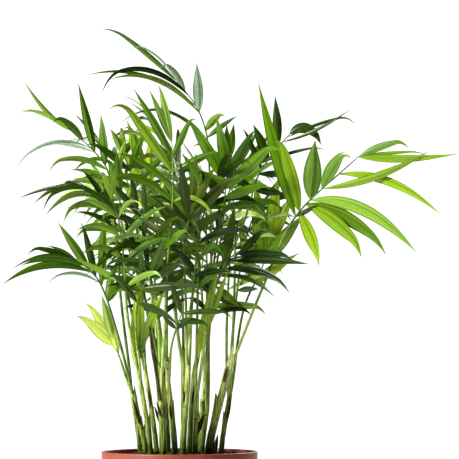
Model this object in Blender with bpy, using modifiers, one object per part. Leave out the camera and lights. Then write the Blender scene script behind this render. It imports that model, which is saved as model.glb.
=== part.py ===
"""Potted bamboo palm: a clump of short canes in a round plastic pot, with thin fronds that arch out of them.

Metres, +Z up, origin under the middle of the pot. The tables below are in millimetres, and their heights
are measured from the pot's rim. X runs to the right and Y away from whoever looks at the front.
"""

import math
import random

import bmesh
import bpy
import numpy as np
from mathutils.bvhtree import BVHTree

MM = 0.001
CLEARANCE = 0.3

# Pot
POT_HEIGHT = 152
RIM_RADIUS = 85
FOOT_RADIUS = 61
COLLAR_HEIGHT = 17
COLLAR_STEP = 1.6
COLLAR_DRAFT = 0.6
RIM_BEVEL = 0.8
FOOT_BEVEL = 1.2
WALL = 2.4
FLOOR = 3.2
DRAIN_HOLES = 8
DRAIN_RADIUS = 4
DRAIN_CIRCLE = 46
DRAIN_SIDES = 10
POT_STEPS = 48

# Soil: a flat middle that the canes stand on, falling away to the wall
SOIL_MIDDLE = -4
SOIL_EDGE = -12
SOIL_FLAT_RADIUS = 60

# Canes: foot x, y; tip x, y, height; radius at the foot
CANES = {
    "a": ((-43, 8), (-53, 10, 64), 2.6),
    "b": ((-36, -12), (-48, -16, 52), 2.9),
    "c": ((-30, -27), (-42, -32, 76), 2.9),
    "d": ((-25, 6), (-38, 9, 86), 2.8),
    "e": ((-17, -39), (-19, -43, 78), 3.7),
    "f": ((-12, -12), (-16, -9, 66), 2.9),
    "g": ((-4, -27), (-12, -30, 76), 3.2),
    "h": ((-19, 26), (-26, 34, 88), 3.0),
    "i": ((4, -40), (10, -44, 80), 3.5),
    "j": ((11, -13), (15, -12, 74), 3.2),
    "k": ((17, -29), (19, -33, 58), 3.2),
    "l": ((24, 4), (30, 5, 44), 2.7),
    "m": ((31, -16), (52, -22, 82), 4.6),
    "n": ((45, 6), (54, 10, 56), 2.9),
    "o": ((4, 26), (3, 36, 88), 3.2),
    "p": ((22, 29), (27, 41, 76), 3.1),
}
CANE_TAPER = 0.80
CANE_BEND = 1.25
CANE_SIDES = 8
CANE_CUTS = 3

# Petiole and rachis
PETIOLE_RADIUS = 1.65
RACHIS_TIP_RADIUS = 0.5
PETIOLE_GAP = 0.8
AXIS_POINTS = 11
AXIS_SHELL = 1.08

# Leaflets
LEAF_THICKNESS = 1.5
LEAF_STATIONS = 4
SHORT_LEAF = 64
SHORT_LEAF_STATIONS = 3
LEAF_SIDES = 4
LEAF_BELLY = 0.85
MIDRIB_POINTS = 13
GRAVITY_PULL = 1.3
SWINGS = (0, 8, -8, 16, -16, 25, -25, 35, -35)
SHORTENINGS = (1, 0.85, 0.7, 0.5)
SIDESTEPS = (0, 3, 6, 9, 12, 15, 18, 22, 26)
SIDE_BEARINGS = (90, -90, 45, -135, 0, 180, 135, -45)

COLOURS = {
    "pot": (0.36, 0.10, 0.06),
    "soil": (0.03, 0.02, 0.015),
    "cane": (0.10, 0.15, 0.04),
    "dark": (0.03, 0.08, 0.01),
    "mid": (0.06, 0.15, 0.01),
    "light": (0.16, 0.25, 0.08),
    "olive": (0.08, 0.12, 0.01),
    "bright": (0.13, 0.28, 0.01),
    "lime": (0.22, 0.36, 0.02),
    "pale": (0.40, 0.50, 0.12),
}

FRONT = -90
fronds = []


def row(at, angle, length, droop, width, lift=8):
    """One side of a frond: where its leaflets stand, from 0 at the foot of the blade to 1 at its tip, and
    each one's angle, length, droop and width. lift says how far they rise out of the blade."""
    return {"at": at, "angle": angle, "length": length, "droop": droop, "width": width, "lift": lift}


def frond(name, cane, path, blade, face, tone, right, left):
    """path leads from the cane's top to the frond's tip, the leaflets start at the part blade of it, and
    face is the bearing and height that the upper side looks to."""
    fronds.append({"name": "frond_" + name, "cane": cane, "path": np.array(path, float), "blade": blade,
                   "face": face, "tone": tone, "sides": ((1, right), (-1, left))})


def arching(name, cane, bearing, reach, height, tone, size, pairs, tilt, turn, spread=66):
    """A frond that leans out from its cane on a bearing and arches over, its leaflets set by one rule.
    spread is the angle of the lowest of them, and each differs a little from its neighbours."""
    rng = random.Random(name)

    def varied(values, amount):
        return [value + rng.uniform(-amount, amount) for value in values]

    top = np.array(CANES[cane][1], float)
    out = reach * np.array([math.cos(math.radians(bearing)), math.sin(math.radians(bearing)), 0])
    rise = np.array([0, 0, height - top[2]])
    path = [top + part_out * out + part_up * rise
            for part_out, part_up in ((0.12, 0.36), (0.36, 0.70), (0.66, 0.90), (1, 1))]
    parts = np.linspace(0, 1, pairs)
    swell = 0.62 + 0.38 * np.sin(np.pi * (0.12 + 0.80 * parts))
    angles = spread - (spread - 12) * parts ** 1.2
    lengths = 1.1 * size * swell
    droops = 0.35 + 0.4 * np.sin(np.pi * parts)
    widths = size * 0.115 * (0.8 + 0.2 * swell)
    right = row(parts, varied(angles, 7), varied(lengths, 6), varied(droops, 0.3), widths, lift=22)
    left = row(0.06 + 0.94 * parts, varied(angles, 7), varied(lengths, 6), varied(droops, 0.3), widths,
               lift=22)
    frond(name, cane, path, 0.50, (bearing + turn, tilt), tone, right, left)


def lay_out_fronds():
    """Each frond's own sizes: first those that make the front's outline, then those set by one rule."""
    frond("right", "m", ((93, -30, 184), (126, -38, 254), (193, -52, 317)), 0.66, (FRONT, 12), "bright",
          row((0, 0.10, 0.18, 0.22, 0.26, 0.46, 0.72, 0.97, 0.99, 1),
              (28, 120, 72, 57, 42, 38, 38, 48, 34, 14), (28, 62, 88, 106, 136, 124, 122, 110, 76, 60),
              (0, 0.2, 0.5, 0.66, 0.95, -0.38, 0.75, -0.18, 0.1, 0.3), (5, 13, 14, 14, 13, 8, 9, 8, 4, 8)),
          row((0, 0.10, 0.28, 0.44), (54, 49, 38, 24), (150, 88, 64, 56), (-0.42, 0, 0, 0.55),
              (13, 15, 19, 13)))
    frond("top", "p", ((34, 34, 190), (30, 16, 340), (14, 8, 385), (-4, 2, 406)), 0.77, (FRONT, 10), "light",
          row((0.05, 0.17, 0.45), (60, 52, 18), (42, 30, 56), (0.1, 0.5, 0.25), (6, 8, 11)),
          row((0, 0.42, 0.55, 0.75, 0.78, 0.93, 1), (27, 18.5, 27, 15, -6, 2, 16),
              (130, 122, 137, 132, 46, 92, 106), (1, 0.78, 0.68, 0.96, 0.6, 0.7, 0.22),
              (3.5, 5.5, 4.5, 5.5, 7, 2.5, 5.5)))
    frond("upper_left", "d", ((-70, 2, 232), (-80, -6, 308), (-119, -16, 349)), 0.72, (FRONT, 15), "light",
          row((0, 0.3, 0.55, 0.8, 1), (35, 28, 19, 10, -19), (56, 56, 78, 48, 75), (0, 0, 0, 0.62, -0.75),
              (9, 9, 9, 8, 5)),
          row((0.05, 0.25, 0.6, 0.55, 1), (52, 37, 28, 34, 6), (52, 76, 101, 58, 63),
              (0.4, 0.8, 1.14, 0.35, 0.5), (7, 6, 3.5, 3.5, 5)))
    frond("mid_left", "a", ((-64, 0, 160), (-71, -14, 247), (-84, -26, 276), (-113, -38, 288)), 0.70,
          (FRONT, 45), "mid",
          row((0, 0.25, 0.4, 0.7), (8, 2, 6, -14), (56, 38, 52, 44), (0, 0.1, 0.3, 0.3), (9, 9, 8, 7)),
          row((0.05, 0.25, 0.45, 0.6, 0.8, 1), (30, 30, 20, 20, 26, 48), (58, 82, 98, 94, 90, 110),
              (0.5, 1, 1.05, 1, 0.78, 0.18), (5, 7, 6.5, 6, 5.5, 4)))
    frond("low_left", "b", ((-66, -24, 124), (-86, -34, 183), (-113, -46, 208)), 0.64, (FRONT, 20), "mid",
          row((0, 0.1, 0.28, 0.58, 0.5, 0.95), (50, 34, 30, 4, 25, -2), (38, 44, 84, 70, 64, 38),
              (0, 0, 0, 0, 0.05, 0.4), (8, 8, 9, 9, 8, 3.5)),
          row((0.35, 0.6, 0.75, 0.85, 0.97), (24, 23, 16, 14, 16), (72, 107, 78, 92, 60),
              (0.8, 0.82, 0.62, 0.8, 0.3), (3.5, 8, 7, 4, 6)))
    frond("front", "e", ((-12, -56, 195), (-6, -66, 275), (-7, -72, 330)), 0.74, (FRONT, 10), "mid",
          row((0, 0.25, 0.5, 0.75, 1), (50, 52, 60, 26, -10), (54, 80, 58, 54, 64),
              (1.4, 1.0, 0.1, 0.05, 0.05), (5, 4.5, 8, 7, 8)),
          row((0, 0.25, 0.5, 0.75, 1), (42, 46, 34, 26, 20), (98, 72, 106, 84, 62), (0.9, 0.3, 0.05, 0.1, 0.1),
              (8, 7, 10, 8, 7)))
    frond("low_middle", "c", ((-46, -46, 130), (-42, -54, 168), (-30, -60, 186)), 0.74, (-95, 15), "dark",
          row((0, 0.5, 1), (86, 56, 30), (54, 76, 52), (0.4, 0.05, 0.1), (8, 9, 9)),
          row((0, 0.5, 1), (50, 24, 6), (46, 44, 56), (0.1, 0.1, 0.1), (8, 8, 11)))
    frond("mid_right", "k", ((31, -44, 150), (44, -50, 222), (52, -56, 302)), 0.84, (-88, 12), "mid",
          row((0, 0.25, 0.5, 0.75, 1), (70, 62, 40, 22, -6), (50, 54, 80, 64, 50), (0.3, 0.1, 0.05, 0.05, 0),
              (8, 10, 13, 10, 10)),
          row((0, 0.33, 0.67, 1), (84, 56, 34, 16), (50, 60, 86, 60), (0.4, 0.2, 0.05, 0.1), (7, 10, 12, 12)))
    frond("upper_right", "j", ((34, -18, 165), (69, -22, 245), (87, -25, 302), (120, -30, 344)), 0.76,
          (FRONT, 20), "dark",
          row((0, 0.2, 0.45, 0.85, 0.95, 1), (74, 56, 40, 43, 28, 8), (36, 44, 66, 86, 84, 46),
              (0.1, 0.2, 0.2, -0.35, 0.25, 1.6), (9, 7, 3.5, 3.5, 3.5, 11)),
          row((0, 0.27, 0.5, 0.72), (80, 52, 54, 40), (46, 50, 42, 56), (0.2, 0, 0, 0), (8, 6, 10, 10)))
    frond("low_right", "l", ((32, 0, 130), (40, -8, 184), (64, -20, 214)), 0.62, (FRONT, 35), "dark",
          row((0, 0.2, 0.35, 0.5, 0.65, 0.85, 1), (74, 90, 100, 46, 48, 46, 49), (66, 36, 40, 88, 92, 108, 76),
              (0.12, 0.2, 0.1, 0.7, 0.6, 0.15, 0.05), (9, 8, 8, 5, 9, 8, 10)),
          row((0.2, 0.6, 1), (44, 22, -6), (56, 72, 46), (0, 0, 0.1), (9, 12, 10)))
    frond("small_front", "g", ((-8, -50, 112), (3, -62, 148)), 0.78, (FRONT, 10), "dark",
          row((0, 0.5, 1), (30, 66, 60), (24, 34, 60), (0.1, 0.2, 0.2), (6, 7, 6)),
          row((0, 1), (60, 30), (20, 40), (0.1, 0.1), (5, 7)))
    frond("centre", "i", ((8, -52, 150), (6, -56, 222), (14, -62, 258)), 0.78, (FRONT, 5), "olive",
          row((0, 0.33, 0.67, 1), (82, 48, 30, 14), (46, 62, 78, 62), (0.4, 0.1, 0.05, 0.05), (6, 9, 12, 9)),
          row((0, 0.33, 0.67, 1), (88, 46, 18, 8), (50, 58, 74, 64), (0.4, 0.1, 0.05, 0.05), (6, 8, 10, 9)))
    frond("centre_left", "f", ((-36, -22, 160), (-60, -34, 236), (-64, -40, 272)), 0.76, (FRONT, 18), "mid",
          row((0, 0.33, 0.67, 1), (74, 50, 30, 4), (54, 60, 66, 56), (0.6, 0.4, 0.2, 0.05), (6, 7, 8, 9)),
          row((0, 0.33, 0.67, 1), (84, 60, 36, 6), (52, 58, 58, 50), (0.7, 0.5, 0.3, 0.05), (6, 7, 8, 10)))
    frond("behind_left", "h", ((-44, 18, 200), (-52, 6, 290), (-62, -4, 324)), 0.76, (FRONT, 30), "mid",
          row((0, 0.33, 0.67, 1), (64, 46, 30, 10), (56, 60, 54, 34), (0.5, 0.4, 0.3, 0.2), (7, 8, 8, 7)),
          row((0, 0.33, 0.67, 1), (74, 50, 30, 8), (54, 60, 60, 34), (0.5, 0.4, 0.3, 0.3), (6, 7, 8, 7)))
    frond("lime_left", "o", ((-14, 44, 200), (-34, 48, 276), (-42, 50, 308)), 0.80, (FRONT, 5), "lime",
          row((0, 0.5, 1), (34, 16, 0), (62, 66, 62), (0.1, 0.1, 0.1), (11, 12, 11)),
          row((0, 0.5, 1), (30, 14, 2), (56, 60, 64), (0.1, 0.1, 0.1), (10, 11, 12)))
    frond("lime_right", "n", ((63, 26, 116), (72, 44, 162), (90, 50, 200), (98, 52, 228)), 0.76,
          (FRONT, 0), "lime",
          row((0, 0.5, 1), (30, 16, 6), (60, 72, 64), (0.1, 0.1, 0.1), (12, 15, 13)),
          row((0, 0.5, 1), (38, 26, 10), (70, 92, 78), (0.1, 0.1, 0.1), (12, 17, 15)))
    frond("behind_right", "n", ((59, 14, 150), (60, 18, 245), (54, 22, 322)), 0.80, (FRONT, 20), "mid",
          row((0, 0.33, 0.67, 1), (74, 54, 34, 12), (56, 64, 58, 40), (0.4, 0.3, 0.2, 0.1), (8, 10, 10, 9)),
          row((0, 0.33, 0.67, 1), (74, 54, 34, 14), (52, 62, 56, 38), (0.4, 0.3, 0.2, 0.1), (8, 10, 10, 9)))
    frond("young_fan", "a", ((-64, 4, 96), (-71, 0, 116)), 0.60, (FRONT, 0), "pale",
          row((0.5, 1), (6, 6), (40, 60), (0.05, 0.05), (8, 10)),
          row((0.9, 1), (25, 11), (56, 57), (0.1, 0.05), (13, 10)))
    frond("young_spear_left", "c", ((-45, -36, 92), (-44, -38, 108)), 0.30, (FRONT, 0), "lime",
          row((0.4, 1), (14, 18), (72, 76), (0, 0), (7, 10)),
          row((0, 0.7), (1, 3), (66, 100), (0, 0), (9, 13)))
    frond("young_spear_right", "j", ((18, -14, 100), (24, -16, 122)), 0.36, (FRONT, 0), "lime",
          row((0, 0.9), (4, 5), (70, 84), (0, 0), (7, 8)),
          row((0.3, 1), (0, 3), (88, 84), (0, 0), (8, 9)))

    arching("back_1", "p", 60, 84, 318, "mid", 76, 5, 40, -40)
    arching("back_2", "o", 96, 118, 322, "dark", 84, 5, 55, 30)
    arching("back_3", "h", 126, 110, 340, "mid", 82, 5, 50, 0)
    arching("back_4", "o", 74, 140, 258, "bright", 84, 5, 65, -20)
    arching("back_5", "h", 100, 140, 236, "mid", 76, 5, 65, 20)
    arching("back_6", "d", 124, 84, 298, "mid", 68, 5, 35, 40)
    arching("back_7", "n", 62, 80, 276, "mid", 70, 5, 30, -50)
    arching("back_8", "o", 130, 38, 366, "bright", 72, 5, 25, 50)
    arching("back_9", "n", 84, 112, 264, "light", 66, 4, 65, 0)
    arching("back_10", "h", 112, 112, 204, "dark", 62, 4, 65, 0)
    arching("back_11", "l", 96, 30, 300, "bright", 76, 5, 15, 60)
    arching("front_1", "l", -75, 50, 238, "dark", 60, 4, 20, 20, 46)
    arching("front_2", "g", -98, 62, 232, "mid", 68, 4, 20, -30, 54)
    arching("front_3", "c", -112, 46, 268, "light", 72, 5, 20, 30, 50)
    arching("front_4", "k", -84, 44, 284, "mid", 70, 5, 10, -40, 46)
    arching("front_5", "f", -150, 36, 216, "dark", 60, 4, 10, 60, 50)
    arching("inner_1", "i", -20, 34, 292, "dark", 70, 4, 10, -60, 50)
    arching("inner_2", "e", 178, 26, 254, "olive", 70, 5, 10, 80, 50)
    arching("inner_3", "f", 72, 40, 296, "mid", 72, 5, 15, 70, 50)
    arching("inner_4", "p", -120, 34, 262, "mid", 72, 5, 10, -110, 50)


def unit(vector):
    return vector / np.linalg.norm(vector)


def smooth_path(points, count):
    """Points at even steps along a Catmull-Rom curve through the given ones."""
    points = np.vstack([2 * points[0] - points[1], points, 2 * points[-1] - points[-2]])
    fine = []
    for p0, p1, p2, p3 in zip(points, points[1:], points[2:], points[3:]):
        for t in np.linspace(0, 1, 16, endpoint=False):
            fine.append(p1 + 0.5 * ((p2 - p0) * t + (2 * p0 - 5 * p1 + 4 * p2 - p3) * t ** 2
                                    + (3 * p1 - p0 - 3 * p2 + p3) * t ** 3))
    fine = np.array(fine + [points[-2]])
    run = np.concatenate([[0], np.cumsum(np.linalg.norm(np.diff(fine, axis=0), axis=1))])
    wanted = np.linspace(0, run[-1], count)
    return np.stack([np.interp(wanted, run, fine[:, k]) for k in range(3)], axis=1)


def petiole_foot(made):
    """The petioles of one cane stand side by side over its top, each on the side that it leans to."""
    top = np.array(CANES[made["cane"]][1], float)
    top[2] += CLEARANCE
    group = [other for other in fronds if other["cane"] == made["cane"]]
    if len(group) == 1:
        return top

    def bearing(other):
        lean = other["path"][0] - top
        return math.atan2(lean[1], lean[0])

    group.sort(key=bearing)
    slots = 2 * math.pi / len(group) * np.arange(len(group))
    turn = np.angle(sum(np.exp(1j * (bearing(other) - slot)) for other, slot in zip(group, slots)))
    ring = (PETIOLE_RADIUS + PETIOLE_GAP / 2) / math.sin(math.pi / len(group))
    angle = turn + slots[[other["name"] for other in group].index(made["name"])]
    return top + ring * np.array([math.cos(angle), math.sin(angle), 0])


def blade_frame(line, part, face):
    """Point, tangent, right side and upper side of the blade at a part of the line's length."""
    place = part * (len(line) - 1)
    i = min(int(place), len(line) - 2)
    point = line[i] + (line[i + 1] - line[i]) * (place - i)
    tangent = unit(line[min(i + 2, len(line) - 1)] - line[max(i - 1, 0)])
    bearing, height = math.radians(face[0]), math.radians(face[1])
    looking = np.array([math.cos(bearing) * math.cos(height), math.sin(bearing) * math.cos(height),
                        math.sin(height)])
    upper = unit(looking - tangent * (looking @ tangent))
    return point, tangent, np.cross(tangent, upper), upper


def midrib(leaf, count):
    """Points from a leaflet's base to its tip, as its own weight bends it."""
    points = [leaf["base"]]
    for part in (np.arange(count - 1) + 0.5) / (count - 1):
        heading = unit(leaf["heading"] - np.array([0, 0, GRAVITY_PULL * leaf["droop"] * part]))
        points.append(points[-1] + heading * leaf["length"] / (count - 1))
    return np.array(points)


def leaflets(made, line, rng):
    """The leaflets that a frond's own sizes ask for, before any gives way to a neighbour."""
    found = []
    for sign, side in made["sides"]:
        for k, angle in enumerate(np.radians(side["angle"])):
            place = min(made["blade"] + (1 - made["blade"]) * side["at"][k], 0.995)
            point, tangent, right, upper = blade_frame(line, place, made["face"])
            lift = math.radians(side["lift"] + rng.uniform(-6, 6))
            flat = math.cos(angle) * tangent + math.sin(angle) * sign * right
            found.append({"base": point, "heading": math.cos(lift) * flat + math.sin(lift) * upper,
                          "upper": upper, "length": side["length"][k], "width": side["width"][k],
                          "droop": side["droop"][k]})
    return found


def leaf_mesh(leaf, grown=0.0):
    """A closed lance-shaped blade, made from a coarse sphere that is drawn out along the midrib."""
    stations = SHORT_LEAF_STATIONS if leaf["length"] < SHORT_LEAF else LEAF_STATIONS
    shape = bmesh.new()
    bmesh.ops.create_uvsphere(shape, u_segments=LEAF_SIDES, v_segments=stations, radius=1)
    spine = midrib(leaf, MIDRIB_POINTS)
    run = np.linspace(0, 1, MIDRIB_POINTS)
    half_width = leaf["width"] / 2 + grown
    half_depth = LEAF_THICKNESS / 2 + grown
    points = []
    for vertex in shape.verts:
        across, up, along = vertex.co
        part = 0.5 + 0.5 * along
        ring = math.sqrt(max(1 - along * along, 0))
        belly = (math.sin(math.pi * part ** LEAF_BELLY) / ring) if ring > 0.01 else 0
        centre = np.array([np.interp(part, run, spine[:, k]) for k in range(3)])
        ahead = unit(np.array([np.interp(min(part + 0.1, 1), run, spine[:, k]) for k in range(3)])
                     - np.array([np.interp(max(part - 0.1, 0), run, spine[:, k]) for k in range(3)]))
        over = unit(leaf["upper"] - ahead * (leaf["upper"] @ ahead))
        points.append(centre + across * belly * half_width * np.cross(over, ahead)
                      + up * belly * half_depth * over)
    faces = [[vertex.index for vertex in face.verts] for face in shape.faces]
    shape.free()
    return np.array(points), faces


def tube_mesh(line, radii, sides, level=False):
    """The points and faces of a tube along a line, for the test of what it would touch. A level tube's
    rings all lie flat, as a cane's do."""
    shape = bmesh.new()
    bmesh.ops.create_cone(shape, segments=sides, radius1=1, radius2=1, depth=1, cap_ends=False)
    ring = np.array([vertex.co[:2] for vertex in shape.verts if vertex.co.z < 0])
    shape.free()
    ring = ring[np.argsort(np.arctan2(ring[:, 1], ring[:, 0]))]
    points = []
    for i, (centre, radius) in enumerate(zip(line, radii)):
        ahead = np.array([0, 0, 1.0])
        if not level:
            ahead = unit(line[min(i + 1, len(line) - 1)] - line[max(i - 1, 0)])
        across = unit(np.cross(ahead, [0.3, 1, 0.1]))
        points += [centre + radius * (x * across + y * np.cross(ahead, across)) for x, y in ring]
    faces = [[i * sides + k, i * sides + (k + 1) % sides, (i + 1) * sides + (k + 1) % sides,
              (i + 1) * sides + k] for i in range(len(line) - 1) for k in range(sides)]
    return np.array(points), faces


class Crowd:
    """What already stands in the crown, so that each new leaflet can keep clear of its neighbours."""

    def __init__(self):
        self.held = []

    def hold(self, owner, points, faces):
        tree = BVHTree.FromPolygons(points.tolist(), faces)
        self.held.append((owner, points.min(axis=0), points.max(axis=0), tree))

    def is_free(self, owner, points, faces):
        low, high = points.min(axis=0), points.max(axis=0)
        tree = None
        for other, other_low, other_high, other_tree in self.held:
            if other == owner or (low > other_high).any() or (high < other_low).any():
                continue
            tree = tree or BVHTree.FromPolygons(points.tolist(), faces)
            if tree.overlap(other_tree):
                return False
        return True


def cane_line(name):
    """Points up the middle of a cane, and its radius at each."""
    foot, tip, radius = CANES[name]
    foot = np.array([*foot, SOIL_MIDDLE + CLEARANCE])
    parts = np.linspace(0, 1, CANE_CUTS + 2)
    line = np.array([foot + (np.array(tip) - foot) * part for part in parts])
    line[:, :2] = foot[:2] + (np.array(tip[:2]) - foot[:2]) * (parts ** CANE_BEND)[:, None]
    return line, radius * (1 + (CANE_TAPER - 1) * parts)


def axis_radii(count):
    parts = np.linspace(0, 1, count)
    return PETIOLE_RADIUS + (RACHIS_TIP_RADIUS - PETIOLE_RADIUS) * parts ** 2


def settle_axes(crowd):
    """The line of each frond from its cane to its tip, moved aside where it would meet another."""
    lines = {}
    for made in fronds:
        start = petiole_foot(made)
        shell_radii = axis_radii(AXIS_POINTS) * AXIS_SHELL + CLEARANCE / 2
        for step, bearing in [(step, bearing) for step in SIDESTEPS for bearing in SIDE_BEARINGS]:
            aside = step * np.array([math.cos(math.radians(bearing)), math.sin(math.radians(bearing)), 0])
            line = smooth_path(np.vstack([start, made["path"] + aside]), AXIS_POINTS)
            line[0, 2] += PETIOLE_RADIUS * np.linalg.norm(unit(line[1] - line[0])[:2])
            if crowd.is_free(made["name"], *tube_mesh(line, shell_radii, 8)):
                break
        else:
            print("no clear way for", made["name"])
        lines[made["name"]] = line
        crowd.hold(made["name"], *tube_mesh(line, shell_radii, 8))
    return lines


def turned(leaf, swing):
    """The leaflet swung up or down from its blade, by degrees."""
    angle = math.radians(swing)
    heading = unit(math.cos(angle) * leaf["heading"] + math.sin(angle) * leaf["upper"])
    return {**leaf, "heading": heading}


def settle_leaflets(crowd, lines):
    """Each frond's leaflets: one that would touch another frond swings away, shortens, or is left out."""
    rng = random.Random(7)
    settled = {}
    for made in fronds:
        kept = settled.setdefault(made["name"], [])
        for leaf in leaflets(made, lines[made["name"]], rng):
            for part in SHORTENINGS:
                shorter = {**leaf, "length": leaf["length"] * part}
                fitting = next((turned(shorter, swing) for swing in SWINGS if crowd.is_free(
                    made["name"], *leaf_mesh(turned(shorter, swing), CLEARANCE + 0.1))), None)
                if fitting:
                    kept.append(fitting)
                    crowd.hold(made["name"], *leaf_mesh(fitting, 0.1))
                    break
    return settled


def material(name, colour, roughness=0.5):
    made = bpy.data.materials.new(name)
    made.use_nodes = True
    shader = made.node_tree.nodes["Principled BSDF"]
    shader.inputs["Base Color"].default_value = (*colour, 1)
    shader.inputs["Roughness"].default_value = roughness
    return made


def to_world(points):
    """Table millimetres over the rim, as metres over the floor."""
    return (np.asarray(points) + [0, 0, POT_HEIGHT]) * MM


def new_object(name, mesh, collection, look=None):
    made = bpy.data.objects.new(name, mesh)
    if look:
        mesh.materials.clear()
        mesh.materials.append(look)
    collection.objects.link(made)
    return made


def mesh_object(name, points, faces, collection, look=None):
    mesh = bpy.data.meshes.new(name)
    mesh.from_pydata(to_world(points).tolist(), [], faces)
    return new_object(name, mesh, collection, look)


def turned_profile(name, profile, steps, collection, look):
    """A solid of revolution: profile points (radius, height) in millimetres, outer side top to bottom."""
    mesh = bpy.data.meshes.new(name)
    mesh.from_pydata([(radius * MM, 0, height * MM) for radius, height in profile], [],
                     [(i, i + 1) for i in range(len(profile) - 1)])
    made = new_object(name, mesh, collection, look)
    screw = made.modifiers.new("Turn", "SCREW")
    screw.steps = screw.render_steps = steps
    screw.use_merge_vertices = True
    screw.merge_threshold = 0.0001
    screw.use_normal_flip = True
    screw.use_smooth_shade = True
    return made


def make_pot(collection, cutters, look):
    """A tapered pot with a flat collar round its rim, and a ring of drain holes in its floor."""
    collar = POT_HEIGHT - COLLAR_HEIGHT
    slope = (RIM_RADIUS - COLLAR_STEP - FOOT_RADIUS) / POT_HEIGHT
    pot = turned_profile("pot", [
        (0, FLOOR), (FOOT_RADIUS + slope * FLOOR - WALL, FLOOR),
        (RIM_RADIUS - WALL, POT_HEIGHT - RIM_BEVEL), (RIM_RADIUS - WALL + RIM_BEVEL, POT_HEIGHT),
        (RIM_RADIUS - RIM_BEVEL, POT_HEIGHT), (RIM_RADIUS, POT_HEIGHT - RIM_BEVEL),
        (RIM_RADIUS - COLLAR_DRAFT, collar), (FOOT_RADIUS + slope * collar, collar - COLLAR_STEP),
        (FOOT_RADIUS, FOOT_BEVEL), (FOOT_RADIUS - FOOT_BEVEL, 0), (0, 0)], POT_STEPS, collection, look)
    for k in range(DRAIN_HOLES):
        angle = 2 * math.pi * (k + 0.5) / DRAIN_HOLES
        bpy.ops.mesh.primitive_cylinder_add(
            vertices=DRAIN_SIDES, radius=DRAIN_RADIUS * MM, depth=4 * FLOOR * MM,
            location=(DRAIN_CIRCLE * MM * math.cos(angle), DRAIN_CIRCLE * MM * math.sin(angle), 0))
        hole = bpy.context.object
        hole.name = f"drain_cutter_{k + 1}"
        hole.hide_render = True
        hole.display_type = "WIRE"
        for owner in hole.users_collection:
            owner.objects.unlink(hole)
        cutters.objects.link(hole)
    cut = pot.modifiers.new("Drain holes", "BOOLEAN")
    cut.operation = "DIFFERENCE"
    cut.operand_type = "COLLECTION"
    cut.collection = cutters


def make_soil(collection, look):
    """The filling, which follows the inside of the pot with a small gap."""
    slope = (RIM_RADIUS - COLLAR_STEP - FOOT_RADIUS) / POT_HEIGHT
    inner_foot = FOOT_RADIUS + slope * FLOOR - WALL
    rise = (RIM_RADIUS - WALL - inner_foot) / (POT_HEIGHT - RIM_BEVEL - FLOOR)
    bottom = FLOOR + CLEARANCE
    edge = POT_HEIGHT + SOIL_EDGE

    def inside(height):
        return inner_foot + rise * (height - FLOOR) - CLEARANCE * 1.5

    turned_profile("soil", [
        (0, POT_HEIGHT + SOIL_MIDDLE), (SOIL_FLAT_RADIUS, POT_HEIGHT + SOIL_MIDDLE), (inside(edge), edge),
        (inside(bottom), bottom), (0, bottom)], POT_STEPS, collection, look)


def make_cane(name, collection, look):
    """A tapered cane that leans as it rises, cut level at the soil and at the mouth of its top sheath."""
    line, radii = cane_line(name)
    shape = bmesh.new()
    bmesh.ops.create_cone(shape, cap_ends=True, segments=CANE_SIDES, radius1=1, radius2=1, depth=1)
    upright = [edge for edge in shape.edges if abs(edge.verts[0].co.z - edge.verts[1].co.z) > 0.5]
    bmesh.ops.subdivide_edges(shape, edges=upright, cuts=CANE_CUTS, use_grid_fill=True)
    parts = np.linspace(0, 1, len(line))
    for vertex in shape.verts:
        part = vertex.co.z + 0.5
        centre = [np.interp(part, parts, line[:, k]) for k in range(3)]
        radius = np.interp(part, parts, radii)
        vertex.co = to_world([centre[0] + vertex.co.x * radius, centre[1] + vertex.co.y * radius, centre[2]])
    mesh = bpy.data.meshes.new("cane_" + name)
    shape.to_mesh(mesh)
    shape.free()
    mesh.shade_smooth()
    mesh.set_sharp_from_angle(angle=math.radians(50))
    new_object("cane_" + name, mesh, collection, look)


def make_axis(name, line, collection, look):
    """Petiole and rachis: one tapering tube along the frond's line, as a mesh with welded caps."""
    curve = bpy.data.curves.new(name, "CURVE")
    curve.dimensions = "3D"
    curve.bevel_depth = MM
    curve.bevel_resolution = 0
    curve.use_fill_caps = True
    spline = curve.splines.new("POLY")
    spline.points.add(len(line) - 1)
    for point, station, radius in zip(spline.points, to_world(line), axis_radii(len(line))):
        point.co = (*station, 1)
        point.radius = radius
    guide = new_object(name + "_guide", curve, collection)
    graph = bpy.context.evaluated_depsgraph_get()
    mesh = bpy.data.meshes.new_from_object(guide.evaluated_get(graph))
    welded = bmesh.new()
    welded.from_mesh(mesh)
    bmesh.ops.remove_doubles(welded, verts=welded.verts, dist=0.00002)
    bmesh.ops.recalc_face_normals(welded, faces=welded.faces)
    welded.to_mesh(mesh)
    welded.free()
    made = new_object(name, mesh, collection, look)
    made.matrix_world = guide.matrix_world
    bpy.data.objects.remove(guide)
    return made


def is_whole(mesh):
    """Whether a mesh is closed and one body."""
    shape = bmesh.new()
    shape.from_mesh(mesh)
    shape.verts.ensure_lookup_table()
    reached = {shape.verts[0]}
    waiting = [shape.verts[0]]
    while waiting:
        vertex = waiting.pop()
        beside = {edge.other_vert(vertex) for edge in vertex.link_edges} - reached
        reached |= beside
        waiting += beside
    whole = len(reached) == len(shape.verts) and all(edge.is_manifold for edge in shape.edges)
    shape.free()
    return whole


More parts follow.
